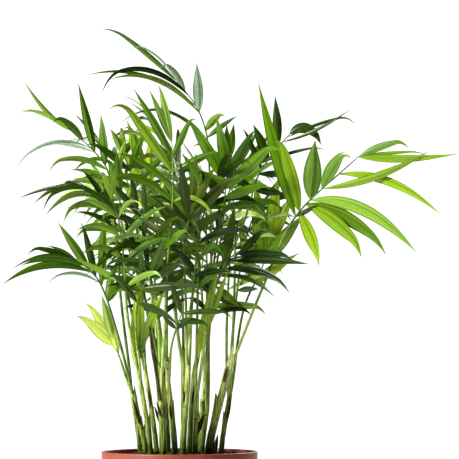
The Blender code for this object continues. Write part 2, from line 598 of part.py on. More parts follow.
def make_frond(made, line, kept, collection, look):
    """One thin blade: the axis and its leaflets, joined by a single Boolean."""
    name = made["name"]
    axis = make_axis(name, line, collection, look)
    spray = bpy.data.collections.new(name + "_leaflets")
    bpy.context.scene.collection.children.link(spray)
    for k, leaf in enumerate(kept):
        mesh_object(f"{name}_leaflet_{k}", *leaf_mesh(leaf), spray, look)
    join = axis.modifiers.new("Join", "BOOLEAN")
    join.operation = "UNION"
    join.operand_type = "COLLECTION"
    join.collection = spray
    for solver in ("EXACT", "MANIFOLD"):
        join.solver = solver
        graph = bpy.context.evaluated_depsgraph_get()
        joined = bpy.data.meshes.new_from_object(axis.evaluated_get(graph))
        if is_whole(joined):
            break
    else:
        print(name, "isn't one closed body")
    axis.modifiers.clear()
    axis.data = joined
    for leaflet in list(spray.objects):
        bpy.data.objects.remove(leaflet)
    bpy.data.collections.remove(spray)


def main():
    for old in list(bpy.data.objects):
        bpy.data.objects.remove(old)
    plant = bpy.data.collections.new("potted_bamboo_palm")
    cutters = bpy.data.collections.new("cutters")
    for collection in (plant, cutters):
        bpy.context.scene.collection.children.link(collection)
    looks = {name: material(name, colour) for name, colour in COLOURS.items()}

    make_pot(plant, cutters, looks["pot"])
    make_soil(plant, looks["soil"])
    for name in CANES:
        make_cane(name, plant, looks["cane"])

    lay_out_fronds()
    crowd = Crowd()
    for name in CANES:
        line, radii = cane_line(name)
        crowd.hold("cane_" + name, *tube_mesh(line, radii + CLEARANCE, CANE_SIDES, level=True))
    lines = settle_axes(crowd)
    settled = settle_leaflets(crowd, lines)
    for made in fronds:
        make_frond(made, lines[made["name"]], settled[made["name"]], plant, looks[made["tone"]])


main()
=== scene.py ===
"""Looks of the potted bamboo palm: pleated leaflets, sheathed canes, peaty soil and a plastic pot.

The fronds grow by the same rule as the solids, so each fine frond lies where its solid does. The tables
are in millimetres, their heights measured from the pot's rim, with X to the right and Y away from the
front. Meshes are made in metres over the floor.
"""

import math
import random

import bmesh
import bpy
import numpy as np
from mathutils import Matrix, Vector
from mathutils.bvhtree import BVHTree


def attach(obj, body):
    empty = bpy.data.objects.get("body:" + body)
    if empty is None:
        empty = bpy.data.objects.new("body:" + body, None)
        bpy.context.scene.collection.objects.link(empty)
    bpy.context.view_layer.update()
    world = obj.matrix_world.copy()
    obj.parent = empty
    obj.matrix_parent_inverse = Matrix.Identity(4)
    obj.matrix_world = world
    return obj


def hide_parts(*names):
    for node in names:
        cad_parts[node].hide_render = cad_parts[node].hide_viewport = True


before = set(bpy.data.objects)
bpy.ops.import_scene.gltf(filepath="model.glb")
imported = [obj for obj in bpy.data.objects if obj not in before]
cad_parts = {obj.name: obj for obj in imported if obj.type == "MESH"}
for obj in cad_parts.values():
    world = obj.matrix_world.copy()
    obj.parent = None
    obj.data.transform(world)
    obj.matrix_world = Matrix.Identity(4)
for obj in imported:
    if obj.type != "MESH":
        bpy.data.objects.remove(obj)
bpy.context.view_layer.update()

MM = 0.001
CLEARANCE = 0.3

# Pot and soil
POT_HEIGHT = 152
RIM_RADIUS = 85
FOOT_RADIUS = 61
COLLAR_HEIGHT = 17
COLLAR_STEP = 1.6
WALL = 2.4
FLOOR = 3.2
DRAIN_HOLES = 8
DRAIN_RADIUS = 4
DRAIN_CIRCLE = 46
WALL_SLOPE = (RIM_RADIUS - COLLAR_STEP - FOOT_RADIUS) / POT_HEIGHT
POT_STEPS = 144
SOIL_MIDDLE = -4
SOIL_EDGE = -12
SOIL_FLAT_RADIUS = 60
SOIL_RADIUS = 84

# Canes: foot x, y; tip x, y, height; radius at the foot
CANES = {
    "a": ((-43, 8), (-53, 10, 64), 2.6),
    "b": ((-36, -12), (-48, -16, 52), 2.9),
    "c": ((-30, -27), (-42, -32, 76), 2.9),
    "d": ((-25, 6), (-38, 9, 86), 2.8),
    "e": ((-17, -39), (-19, -43, 78), 3.7),
    "f": ((-12, -12), (-16, -9, 66), 2.9),
    "g": ((-4, -27), (-12, -30, 76), 3.2),
    "h": ((-19, 26), (-26, 34, 88), 3.0),
    "i": ((4, -40), (10, -44, 80), 3.5),
    "j": ((11, -13), (15, -12, 74), 3.2),
    "k": ((17, -29), (19, -33, 58), 3.2),
    "l": ((24, 4), (30, 5, 44), 2.7),
    "m": ((31, -16), (52, -22, 82), 4.6),
    "n": ((45, 6), (54, 10, 56), 2.9),
    "o": ((4, 26), (3, 36, 88), 3.2),
    "p": ((22, 29), (27, 41, 76), 3.1),
}
CANE_TAPER = 0.80
CANE_BEND = 1.25
CANE_SIDES = 8
CANE_CUTS = 3

# Petiole and rachis
PETIOLE_RADIUS = 1.65
RACHIS_TIP_RADIUS = 0.5
PETIOLE_GAP = 0.8
AXIS_POINTS = 11
AXIS_SHELL = 1.08
AXIS_SIDES = 8
CURVE_STEPS = 16
# A direction in which no stem runs, to square its rings by
SLANT = (0.3, 1, 0.1)

# Leaflets
LEAF_THICKNESS = 1.5
LEAF_STATIONS = 4
SHORT_LEAF = 64
SHORT_LEAF_STATIONS = 3
LEAF_SIDES = 4
LEAF_BELLY = 0.85
MIDRIB_POINTS = 13
COARSE_REACH = 0.1
GRAVITY_PULL = 1.3
SWINGS = (0, 8, -8, 16, -16, 25, -25, 35, -35)
SHORTENINGS = (1, 0.85, 0.7, 0.5)
SIDESTEPS = (0, 3, 6, 9, 12, 15, 18, 22, 26)
SIDE_BEARINGS = (90, -90, 45, -135, 0, 180, 135, -45)
LAST_PLACE = 0.995
LIFT_PLAY = 6
MARGIN = 0.1
LEAFLET_SEED = 7

# Fronds set by one rule: how far their path has leaned out and risen at each of its points, where the
# blade starts, its leaflets' lift and last angle, and how much one leaflet differs from the next
ARCH = ((0.12, 0.36), (0.36, 0.70), (0.66, 0.90), (1, 1))
ARCH_BLADE = 0.50
ARCH_LIFT = 22
TIP_ANGLE = 12
ANGLE_PLAY = 7
LENGTH_PLAY = 6
DROOP_PLAY = 0.3

# Usual places of a row's leaflets
HALVES = (0, 0.5, 1)
THIRDS = (0, 0.33, 0.67, 1)
QUARTERS = (0, 0.25, 0.5, 0.75, 1)
FRONT = -90
fronds = []


def row(at, angle, length, droop, width, lift=8):
    """One side of a frond: where its leaflets stand, from 0 at the foot of the blade to 1 at its tip, and
    each one's angle, length, droop and width. lift says how far they rise out of the blade."""
    return {"at": at, "angle": angle, "length": length, "droop": droop, "width": width, "lift": lift}


def frond(name, cane, path, blade, face, tone, right, left):
    """path leads from the cane's top to the frond's tip, the leaflets start at the part blade of it, and
    face is the bearing and height that the upper side looks to."""
    fronds.append({"name": "frond_" + name, "cane": cane, "path": np.array(path, float), "blade": blade,
                   "face": face, "tone": tone, "sides": ((1, right), (-1, left))})


def towards(bearing, height=0):
    """The unit vector on a bearing and at a height over the level, both in degrees."""
    bearing, height = math.radians(bearing), math.radians(height)
    return np.array([math.cos(bearing) * math.cos(height), math.sin(bearing) * math.cos(height),
                     math.sin(height)])


def arching(name, cane, bearing, reach, height, tone, size, pairs, tilt, turn, spread=66):
    """A frond that leans out from its cane on a bearing and arches over, its leaflets set by one rule.
    spread is the angle of the lowest of them, and each differs a little from its neighbours."""
    rng = random.Random(name)

    def varied(values, amount):
        return [value + rng.uniform(-amount, amount) for value in values]

    top = np.array(CANES[cane][1], float)
    out = reach * towards(bearing)
    rise = np.array([0, 0, height - top[2]])
    path = [top + part_out * out + part_up * rise for part_out, part_up in ARCH]
    parts = np.linspace(0, 1, pairs)
    swell = 0.62 + 0.38 * np.sin(np.pi * (0.12 + 0.80 * parts))
    angles = spread - (spread - TIP_ANGLE) * parts ** 1.2
    lengths = 1.1 * size * swell
    droops = 0.35 + 0.4 * np.sin(np.pi * parts)
    widths = size * 0.115 * (0.8 + 0.2 * swell)
    right, left = (row(at, varied(angles, ANGLE_PLAY), varied(lengths, LENGTH_PLAY),
                       varied(droops, DROOP_PLAY), widths, ARCH_LIFT) for at in (parts, 0.06 + 0.94 * parts))
    frond(name, cane, path, ARCH_BLADE, (bearing + turn, tilt), tone, right, left)


# Each frond's own sizes: first those that make the front's outline, then those set by one rule
frond("right", "m", ((93, -30, 184), (126, -38, 254), (193, -52, 317)), 0.66, (FRONT, 12), "bright",
      row((0, 0.10, 0.18, 0.22, 0.26, 0.46, 0.72, 0.97, 0.99, 1), (28, 120, 72, 57, 42, 38, 38, 48, 34, 14),
          (28, 62, 88, 106, 136, 124, 122, 110, 76, 60),
          (0, 0.2, 0.5, 0.66, 0.95, -0.38, 0.75, -0.18, 0.1, 0.3), (5, 13, 14, 14, 13, 8, 9, 8, 4, 8)),
      row((0, 0.10, 0.28, 0.44), (54, 49, 38, 24), (150, 88, 64, 56), (-0.42, 0, 0, 0.55), (13, 15, 19, 13)))
frond("top", "p", ((34, 34, 190), (30, 16, 340), (14, 8, 385), (-4, 2, 406)), 0.77, (FRONT, 10), "light",
      row((0.05, 0.17, 0.45), (60, 52, 18), (42, 30, 56), (0.1, 0.5, 0.25), (6, 8, 11)),
      row((0, 0.42, 0.55, 0.75, 0.78, 0.93, 1), (27, 18.5, 27, 15, -6, 2, 16),
          (130, 122, 137, 132, 46, 92, 106), (1, 0.78, 0.68, 0.96, 0.6, 0.7, 0.22),
          (3.5, 5.5, 4.5, 5.5, 7, 2.5, 5.5)))
frond("upper_left", "d", ((-70, 2, 232), (-80, -6, 308), (-119, -16, 349)), 0.72, (FRONT, 15), "light",
      row((0, 0.3, 0.55, 0.8, 1), (35, 28, 19, 10, -19), (56, 56, 78, 48, 75), (0, 0, 0, 0.62, -0.75),
          (9, 9, 9, 8, 5)),
      row((0.05, 0.25, 0.6, 0.55, 1), (52, 37, 28, 34, 6), (52, 76, 101, 58, 63),
          (0.4, 0.8, 1.14, 0.35, 0.5), (7, 6, 3.5, 3.5, 5)))
frond("mid_left", "a", ((-64, 0, 160), (-71, -14, 247), (-84, -26, 276), (-113, -38, 288)),
      0.70, (FRONT, 45), "mid",
      row((0, 0.25, 0.4, 0.7), (8, 2, 6, -14), (56, 38, 52, 44), (0, 0.1, 0.3, 0.3), (9, 9, 8, 7)),
      row((0.05, 0.25, 0.45, 0.6, 0.8, 1), (30, 30, 20, 20, 26, 48), (58, 82, 98, 94, 90, 110),
          (0.5, 1, 1.05, 1, 0.78, 0.18), (5, 7, 6.5, 6, 5.5, 4)))
frond("low_left", "b", ((-66, -24, 124), (-86, -34, 183), (-113, -46, 208)), 0.64, (FRONT, 20), "mid",
      row((0, 0.1, 0.28, 0.58, 0.5, 0.95), (50, 34, 30, 4, 25, -2), (38, 44, 84, 70, 64, 38),
          (0, 0, 0, 0, 0.05, 0.4), (8, 8, 9, 9, 8, 3.5)),
      row((0.35, 0.6, 0.75, 0.85, 0.97), (24, 23, 16, 14, 16), (72, 107, 78, 92, 60),
          (0.8, 0.82, 0.62, 0.8, 0.3), (3.5, 8, 7, 4, 6)))
frond("front", "e", ((-12, -56, 195), (-6, -66, 275), (-7, -72, 330)), 0.74, (FRONT, 10), "mid",
      row(QUARTERS, (50, 52, 60, 26, -10), (54, 80, 58, 54, 64), (1.4, 1.0, 0.1, 0.05, 0.05),
          (5, 4.5, 8, 7, 8)),
      row(QUARTERS, (42, 46, 34, 26, 20), (98, 72, 106, 84, 62), (0.9, 0.3, 0.05, 0.1, 0.1),
          (8, 7, 10, 8, 7)))
frond("low_middle", "c", ((-46, -46, 130), (-42, -54, 168), (-30, -60, 186)), 0.74, (-95, 15), "dark",
      row(HALVES, (86, 56, 30), (54, 76, 52), (0.4, 0.05, 0.1), (8, 9, 9)),
      row(HALVES, (50, 24, 6), (46, 44, 56), (0.1, 0.1, 0.1), (8, 8, 11)))
frond("mid_right", "k", ((31, -44, 150), (44, -50, 222), (52, -56, 302)), 0.84, (-88, 12), "mid",
      row(QUARTERS, (70, 62, 40, 22, -6), (50, 54, 80, 64, 50), (0.3, 0.1, 0.05, 0.05, 0),
          (8, 10, 13, 10, 10)),
      row(THIRDS, (84, 56, 34, 16), (50, 60, 86, 60), (0.4, 0.2, 0.05, 0.1), (7, 10, 12, 12)))
frond("upper_right", "j", ((34, -18, 165), (69, -22, 245), (87, -25, 302), (120, -30, 344)),
      0.76, (FRONT, 20), "dark",
      row((0, 0.2, 0.45, 0.85, 0.95, 1), (74, 56, 40, 43, 28, 8), (36, 44, 66, 86, 84, 46),
          (0.1, 0.2, 0.2, -0.35, 0.25, 1.6), (9, 7, 3.5, 3.5, 3.5, 11)),
      row((0, 0.27, 0.5, 0.72), (80, 52, 54, 40), (46, 50, 42, 56), (0.2, 0, 0, 0), (8, 6, 10, 10)))
frond("low_right", "l", ((32, 0, 130), (40, -8, 184), (64, -20, 214)), 0.62, (FRONT, 35), "dark",
      row((0, 0.2, 0.35, 0.5, 0.65, 0.85, 1), (74, 90, 100, 46, 48, 46, 49), (66, 36, 40, 88, 92, 108, 76),
          (0.12, 0.2, 0.1, 0.7, 0.6, 0.15, 0.05), (9, 8, 8, 5, 9, 8, 10)),
      row((0.2, 0.6, 1), (44, 22, -6), (56, 72, 46), (0, 0, 0.1), (9, 12, 10)))
frond("small_front", "g", ((-8, -50, 112), (3, -62, 148)), 0.78, (FRONT, 10), "dark",
      row(HALVES, (30, 66, 60), (24, 34, 60), (0.1, 0.2, 0.2), (6, 7, 6)),
      row((0, 1), (60, 30), (20, 40), (0.1, 0.1), (5, 7)))
frond("centre", "i", ((8, -52, 150), (6, -56, 222), (14, -62, 258)), 0.78, (FRONT, 5), "olive",
      row(THIRDS, (82, 48, 30, 14), (46, 62, 78, 62), (0.4, 0.1, 0.05, 0.05), (6, 9, 12, 9)),
      row(THIRDS, (88, 46, 18, 8), (50, 58, 74, 64), (0.4, 0.1, 0.05, 0.05), (6, 8, 10, 9)))
frond("centre_left", "f", ((-36, -22, 160), (-60, -34, 236), (-64, -40, 272)), 0.76, (FRONT, 18), "mid",
      row(THIRDS, (74, 50, 30, 4), (54, 60, 66, 56), (0.6, 0.4, 0.2, 0.05), (6, 7, 8, 9)),
      row(THIRDS, (84, 60, 36, 6), (52, 58, 58, 50), (0.7, 0.5, 0.3, 0.05), (6, 7, 8, 10)))
frond("behind_left", "h", ((-44, 18, 200), (-52, 6, 290), (-62, -4, 324)), 0.76, (FRONT, 30), "mid",
      row(THIRDS, (64, 46, 30, 10), (56, 60, 54, 34), (0.5, 0.4, 0.3, 0.2), (7, 8, 8, 7)),
      row(THIRDS, (74, 50, 30, 8), (54, 60, 60, 34), (0.5, 0.4, 0.3, 0.3), (6, 7, 8, 7)))
frond("lime_left", "o", ((-14, 44, 200), (-34, 48, 276), (-42, 50, 308)), 0.80, (FRONT, 5), "lime",
      row(HALVES, (34, 16, 0), (62, 66, 62), (0.1, 0.1, 0.1), (11, 12, 11)),
      row(HALVES, (30, 14, 2), (56, 60, 64), (0.1, 0.1, 0.1), (10, 11, 12)))
frond("lime_right", "n", ((63, 26, 116), (72, 44, 162), (90, 50, 200), (98, 52, 228)), 0.76, (FRONT, 0),
      "lime",
      row(HALVES, (30, 16, 6), (60, 72, 64), (0.1, 0.1, 0.1), (12, 15, 13)),
      row(HALVES, (38, 26, 10), (70, 92, 78), (0.1, 0.1, 0.1), (12, 17, 15)))
frond("behind_right", "n", ((59, 14, 150), (60, 18, 245), (54, 22, 322)), 0.80, (FRONT, 20), "mid",
      row(THIRDS, (74, 54, 34, 12), (56, 64, 58, 40), (0.4, 0.3, 0.2, 0.1), (8, 10, 10, 9)),
      row(THIRDS, (74, 54, 34, 14), (52, 62, 56, 38), (0.4, 0.3, 0.2, 0.1), (8, 10, 10, 9)))
frond("young_fan", "a", ((-64, 4, 96), (-71, 0, 116)), 0.60, (FRONT, 0), "pale",
      row((0.5, 1), (6, 6), (40, 60), (0.05, 0.05), (8, 10)),
      row((0.9, 1), (25, 11), (56, 57), (0.1, 0.05), (13, 10)))
frond("young_spear_left", "c", ((-45, -36, 92), (-44, -38, 108)), 0.30, (FRONT, 0), "lime",
      row((0.4, 1), (14, 18), (72, 76), (0, 0), (7, 10)),
      row((0, 0.7), (1, 3), (66, 100), (0, 0), (9, 13)))
frond("young_spear_right", "j", ((18, -14, 100), (24, -16, 122)), 0.36, (FRONT, 0), "lime",
      row((0, 0.9), (4, 5), (70, 84), (0, 0), (7, 8)),
      row((0.3, 1), (0, 3), (88, 84), (0, 0), (8, 9)))

arching("back_1", "p", 60, 84, 318, "mid", 76, 5, 40, -40)
arching("back_2", "o", 96, 118, 322, "dark", 84, 5, 55, 30)
arching("back_3", "h", 126, 110, 340, "mid", 82, 5, 50, 0)
arching("back_4", "o", 74, 140, 258, "bright", 84, 5, 65, -20)
arching("back_5", "h", 100, 140, 236, "mid", 76, 5, 65, 20)
arching("back_6", "d", 124, 84, 298, "mid", 68, 5, 35, 40)
arching("back_7", "n", 62, 80, 276, "mid", 70, 5, 30, -50)
arching("back_8", "o", 130, 38, 366, "bright", 72, 5, 25, 50)
arching("back_9", "n", 84, 112, 264, "light", 66, 4, 65, 0)
arching("back_10", "h", 112, 112, 204, "dark", 62, 4, 65, 0)
arching("back_11", "l", 96, 30, 300, "bright", 76, 5, 15, 60)
arching("front_1", "l", -75, 50, 238, "dark", 60, 4, 20, 20, 46)
arching("front_2", "g", -98, 62, 232, "mid", 68, 4, 20, -30, 54)
arching("front_3", "c", -112, 46, 268, "light", 72, 5, 20, 30, 50)
arching("front_4", "k", -84, 44, 284, "mid", 70, 5, 10, -40, 46)
arching("front_5", "f", -150, 36, 216, "dark", 60, 4, 10, 60, 50)
arching("inner_1", "i", -20, 34, 292, "dark", 70, 4, 10, -60, 50)
arching("inner_2", "e", 178, 26, 254, "olive", 70, 5, 10, 80, 50)
arching("inner_3", "f", 72, 40, 296, "mid", 72, 5, 15, 70, 50)
arching("inner_4", "p", -120, 34, 262, "mid", 72, 5, 10, -110, 50)


def unit(vector):
    return vector / np.linalg.norm(vector)


def at_part(part, run, line):
    """The point of a line at a part of its run, or the points at several."""
    return np.stack([np.interp(part, run, line[:, k]) for k in range(3)], axis=-1)


def smooth_path(points, count):
    """Points at even steps along a Catmull-Rom curve through the given ones."""
    points = np.vstack([2 * points[0] - points[1], points, 2 * points[-1] - points[-2]])
    fine = []
    for p0, p1, p2, p3 in zip(points, points[1:], points[2:], points[3:]):
        for t in np.linspace(0, 1, CURVE_STEPS, endpoint=False):
            fine.append(p1 + 0.5 * ((p2 - p0) * t + (2 * p0 - 5 * p1 + 4 * p2 - p3) * t ** 2
                                    + (3 * p1 - p0 - 3 * p2 + p3) * t ** 3))
    fine = np.array(fine + [points[-2]])
    run = np.concatenate([[0], np.cumsum(np.linalg.norm(np.diff(fine, axis=0), axis=1))])
    return at_part(np.linspace(0, run[-1], count), run, fine)


def petiole_foot(made):
    """The petioles of one cane stand side by side over its top, each on the side that it leans to."""
    top = np.array(CANES[made["cane"]][1], float)
    top[2] += CLEARANCE
    group = [other for other in fronds if other["cane"] == made["cane"]]
    if len(group) == 1:
        return top

    def bearing(other):
        lean = other["path"][0] - top
        return math.atan2(lean[1], lean[0])

    group.sort(key=bearing)
    slots = 2 * math.pi / len(group) * np.arange(len(group))
    turn = np.angle(sum(np.exp(1j * (bearing(other) - slot)) for other, slot in zip(group, slots)))
    ring = (PETIOLE_RADIUS + PETIOLE_GAP / 2) / math.sin(math.pi / len(group))
    angle = turn + slots[[other["name"] for other in group].index(made["name"])]
    return top + ring * np.array([math.cos(angle), math.sin(angle), 0])


def blade_frame(line, part, face):
    """Point, tangent, right side and upper side of the blade at a part of the line's length."""
    place = part * (len(line) - 1)
    i = min(int(place), len(line) - 2)
    point = line[i] + (line[i + 1] - line[i]) * (place - i)
    tangent = unit(line[min(i + 2, len(line) - 1)] - line[max(i - 1, 0)])
    looking = towards(*face)
    upper = unit(looking - tangent * (looking @ tangent))
    return point, tangent, np.cross(tangent, upper), upper


def midrib(leaf, count):
    """Points from a leaflet's base to its tip, as its own weight bends it."""
    points = [leaf["base"]]
    for part in (np.arange(count - 1) + 0.5) / (count - 1):
        heading = unit(leaf["heading"] - np.array([0, 0, GRAVITY_PULL * leaf["droop"] * part]))
        points.append(points[-1] + heading * leaf["length"] / (count - 1))
    return np.array(points)


def leaflets(made, line, rng):
    """The leaflets that a frond's own sizes ask for, before any gives way to a neighbour."""
    found = []
    for sign, side in made["sides"]:
        for k, angle in enumerate(np.radians(side["angle"])):
            place = min(made["blade"] + (1 - made["blade"]) * side["at"][k], LAST_PLACE)
            point, tangent, right, upper = blade_frame(line, place, made["face"])
            lift = math.radians(side["lift"] + rng.uniform(-LIFT_PLAY, LIFT_PLAY))
            flat = math.cos(angle) * tangent + math.sin(angle) * sign * right
            found.append({"base": point, "heading": math.cos(lift) * flat + math.sin(lift) * upper,
                          "upper": upper, "length": side["length"][k], "width": side["width"][k],
                          "droop": side["droop"][k]})
    return found


def leaf_frame(leaf, spine, part, reach):
    """Middle, heading and upper side of a leaflet at a part of its length. reach says how far to either
    side of that part the heading is taken."""
    run = np.linspace(0, 1, len(spine))
    ahead = unit(at_part(min(part + reach, 1), run, spine) - at_part(max(part - reach, 0), run, spine))
    return at_part(part, run, spine), ahead, unit(leaf["upper"] - ahead * (leaf["upper"] @ ahead))


def leaf_mesh(leaf, grown=0.0):
    """A closed lance-shaped blade, made from a coarse sphere that is drawn out along the midrib."""
    stations = SHORT_LEAF_STATIONS if leaf["length"] < SHORT_LEAF else LEAF_STATIONS
    shape = bmesh.new()
    bmesh.ops.create_uvsphere(shape, u_segments=LEAF_SIDES, v_segments=stations, radius=1)
    spine = midrib(leaf, MIDRIB_POINTS)
    half_width = leaf["width"] / 2 + grown
    half_depth = LEAF_THICKNESS / 2 + grown
    points = []
    for vertex in shape.verts:
        across, up, along = vertex.co
        part = 0.5 + 0.5 * along
        ring = math.sqrt(max(1 - along * along, 0))
        belly = (math.sin(math.pi * part ** LEAF_BELLY) / ring) if ring > 0.01 else 0
        centre, ahead, over = leaf_frame(leaf, spine, part, COARSE_REACH)
        points.append(centre + across * belly * half_width * np.cross(over, ahead)
                      + up * belly * half_depth * over)
    faces = [[vertex.index for vertex in face.verts] for face in shape.faces]
    shape.free()
    return np.array(points), faces


def wall_faces(rings, size):
    """The faces of a tube's wall, through rings of so many points."""
    return [[i * size + k, i * size + (k + 1) % size, (i + 1) * size + (k + 1) % size, (i + 1) * size + k]
            for i in range(rings - 1) for k in range(size)]


def tube_mesh(line, radii, sides, level=False):
    """The points and faces of a tube along a line, for the test of what it would touch. A level tube's
    rings all lie flat, as a cane's do."""
    shape = bmesh.new()
    bmesh.ops.create_cone(shape, segments=sides, radius1=1, radius2=1, depth=1, cap_ends=False)
    ring = np.array([vertex.co[:2] for vertex in shape.verts if vertex.co.z < 0])
    shape.free()
    ring = ring[np.argsort(np.arctan2(ring[:, 1], ring[:, 0]))]
    points = []
    for i, (centre, radius) in enumerate(zip(line, radii)):
        ahead = np.array([0, 0, 1.0])
        if not level:
            ahead = unit(line[min(i + 1, len(line) - 1)] - line[max(i - 1, 0)])
        across = unit(np.cross(ahead, SLANT))
        points += [centre + radius * (x * across + y * np.cross(ahead, across)) for x, y in ring]
    return np.array(points), wall_faces(len(line), sides)


class Crowd:
    """What already stands in the crown, so that each new leaflet can keep clear of its neighbours."""

    def __init__(self):
        self.held = []

    def hold(self, owner, points, faces):
        tree = BVHTree.FromPolygons(points.tolist(), faces)
        self.held.append((owner, points.min(axis=0), points.max(axis=0), tree))

    def is_free(self, owner, points, faces):
        low, high = points.min(axis=0), points.max(axis=0)
        tree = None
        for other, other_low, other_high, other_tree in self.held:
            if other == owner or (low > other_high).any() or (high < other_low).any():
                continue
            tree = tree or BVHTree.FromPolygons(points.tolist(), faces)
            if tree.overlap(other_tree):
                return False
        return True


def cane_line(name):
    """Points up the middle of a cane, and its radius at each."""
    foot, tip, radius = CANES[name]
    foot = np.array([*foot, SOIL_MIDDLE + CLEARANCE])
    parts = np.linspace(0, 1, CANE_CUTS + 2)
    line = np.array([foot + (np.array(tip) - foot) * part for part in parts])
    line[:, :2] = foot[:2] + (np.array(tip[:2]) - foot[:2]) * (parts ** CANE_BEND)[:, None]
    return line, radius * (1 + (CANE_TAPER - 1) * parts)


def axis_radii(count):
    parts = np.linspace(0, 1, count)
    return PETIOLE_RADIUS + (RACHIS_TIP_RADIUS - PETIOLE_RADIUS) * parts ** 2


def settle_axes(crowd):
    """The line of each frond from its cane to its tip, moved aside where it would meet another."""
    lines = {}
    for made in fronds:
        start = petiole_foot(made)
        shell_radii = axis_radii(AXIS_POINTS) * AXIS_SHELL + CLEARANCE / 2
        for step, bearing in [(step, bearing) for step in SIDESTEPS for bearing in SIDE_BEARINGS]:
            line = smooth_path(np.vstack([start, made["path"] + step * towards(bearing)]), AXIS_POINTS)
            line[0, 2] += PETIOLE_RADIUS * np.linalg.norm(unit(line[1] - line[0])[:2])
            shell = tube_mesh(line, shell_radii, AXIS_SIDES)
            if crowd.is_free(made["name"], *shell):
                break
        else:
            print("no clear way for", made["name"])
        lines[made["name"]] = line
        crowd.hold(made["name"], *shell)
    return lines


def fitted(crowd, made, leaf, margin):
    """The leaflet at its first swing that keeps clear of all other fronds, if there is one."""
    return next((turned(leaf, swing) for swing in SWINGS if crowd.is_free(
        made["name"], *leaf_mesh(turned(leaf, swing), margin))), None)


def turned(leaf, swing):
    """The leaflet swung up or down from its blade, by degrees."""
    angle = math.radians(swing)
    heading = unit(math.cos(angle) * leaf["heading"] + math.sin(angle) * leaf["upper"])
    return {**leaf, "heading": heading}


def settle_leaflets(crowd, lines):
    """Each frond's leaflets: one that would touch another frond swings away, shortens, or is left out."""
    rng = random.Random(LEAFLET_SEED)
    settled = {}
    for made in fronds:
        kept = settled.setdefault(made["name"], [])
        for leaf in leaflets(made, lines[made["name"]], rng):
            for part in SHORTENINGS:
                fitting = fitted(crowd, made, {**leaf, "length": leaf["length"] * part}, CLEARANCE + MARGIN)
                if fitting:
                    kept.append(fitting)
                    crowd.hold(made["name"], *leaf_mesh(fitting, MARGIN))
                    break
    return settled


# Looks. Colours are screen values from 0 to 255, here of the upper and under side of a tone's leaflets. The
# tones are partly the leaflets' own colours and partly painted light and shade: dark is deepened for the
# shade in the crown's middle, and bright stands in for leaflets lit through from behind
TONES = {
    "dark": ((39, 62, 0), (96, 120, 54)),
    "mid": ((73, 108, 6), (126, 152, 80)),
    "light": ((118, 150, 52), (172, 188, 144)),
    "olive": ((62, 80, 0), (96, 112, 30)),
    "bright": ((110, 140, 26), (152, 174, 98)),
    "lime": ((136, 162, 40), (158, 180, 78)),
    "pale": ((180, 198, 92), (190, 208, 116)),
    # grey: the pale colour of a leaflet's under side on both faces, brightened as painted backlight glow
    "grey": ((196, 212, 180), (202, 214, 188)),
}
# Each stem's darker streaks, ground and paler streaks
STEM_TONES = {
    "petiole_dark": ((44, 70, 12), (76, 102, 30), (120, 144, 68)),
    "petiole_mid": ((72, 100, 22), (104, 132, 44), (146, 170, 90)),
    "petiole_light": ((104, 130, 44), (140, 162, 76), (180, 196, 130)),
    "cane": ((48, 64, 8), (100, 122, 36), (176, 188, 112)),
    "sheath": ((68, 84, 18), (124, 142, 56), (188, 196, 132)),
}
# Painted shade on the stems: how much a stem's skin is painted paler for each metre over a height above the
# floor, in metres, and darker for each metre under it, standing in for the shade that falls low among the
# canes
PAINTED_SHADE_SLOPES = {"cane": 3.2, "sheath": 2.6}
PAINTED_SHADE_LEVEL = 0.205
# Fronds whose petioles stay pale or dark all the way up
PALE_STEMS = ("front", "young_fan", "young_spear_left", "young_spear_right")
DARK_STEMS = ("low_left", "mid_left", "upper_left", "centre_left", "behind_left", "upper_right")
# Leaflets that differ from the rest of their frond, by their place in it: partly their own colour, partly
# painted shade on leaflets that lie in shadow and painted light on leaflets lit from behind
OWN_AND_PAINTED_LIGHT_TONES = {
    "right": {0: "dark", 4: "light", 9: "light", 10: "mid", 12: "light", 13: "light"},
    "top": {2: "grey", 5: "mid", 6: "dark", 7: "grey", 8: "grey"},
    "low_right": {0: "light", 1: "mid", 2: "light"},
    "front": {0: "light", 4: "light", 7: "bright", 9: "light"},
    "upper_left": {2: "mid", 7: "grey", 8: "grey"},
    "mid_left": {0: "light", 5: "light", 6: "light", 8: "light"},
    "low_left": {1: "light", 6: "grey"},
    "centre_left": {2: "light", 5: "light"},
    "behind_left": {1: "light", 3: "light", 5: "light", 7: "light"},
}
# Dry scales that the photograph shows on the canes: cane, foot, tip, width
DRY_SCALES = (("k", (18, -33, 16), (28, -29, 44), 5), ("m", (37, -21, -5), (42, -26, 20), 5),
              ("m", (48, -27, 74), (52, -26, 94), 3.5), ("b", (-42, -17, 28), (-51, -20, 60), 3.5),
              ("n", (51, 5, 30), (57, 6, 62), 3), ("d", (-31, 5, 44), (-35, 3, 70), 2.6),
              ("g", (-8, -31, 34), (-10, -34, 52), 2.6), ("e", (-18, -44, 36), (-24, -47, 56), 2.6),
              ("e", (-17, -44, 36), (-13, -47, 54), 2.2), ("j", (14, -16, 50), (17, -18, 74), 2.6),
              ("i", (7, -44, 44), (5, -47, 70), 3), ("h", (-22, 27, 28), (-29, 30, 50), 3),
              ("o", (5, 31, 42), (9, 33, 66), 3), ("p", (25, 37, 32), (26, 41, 56), 3))
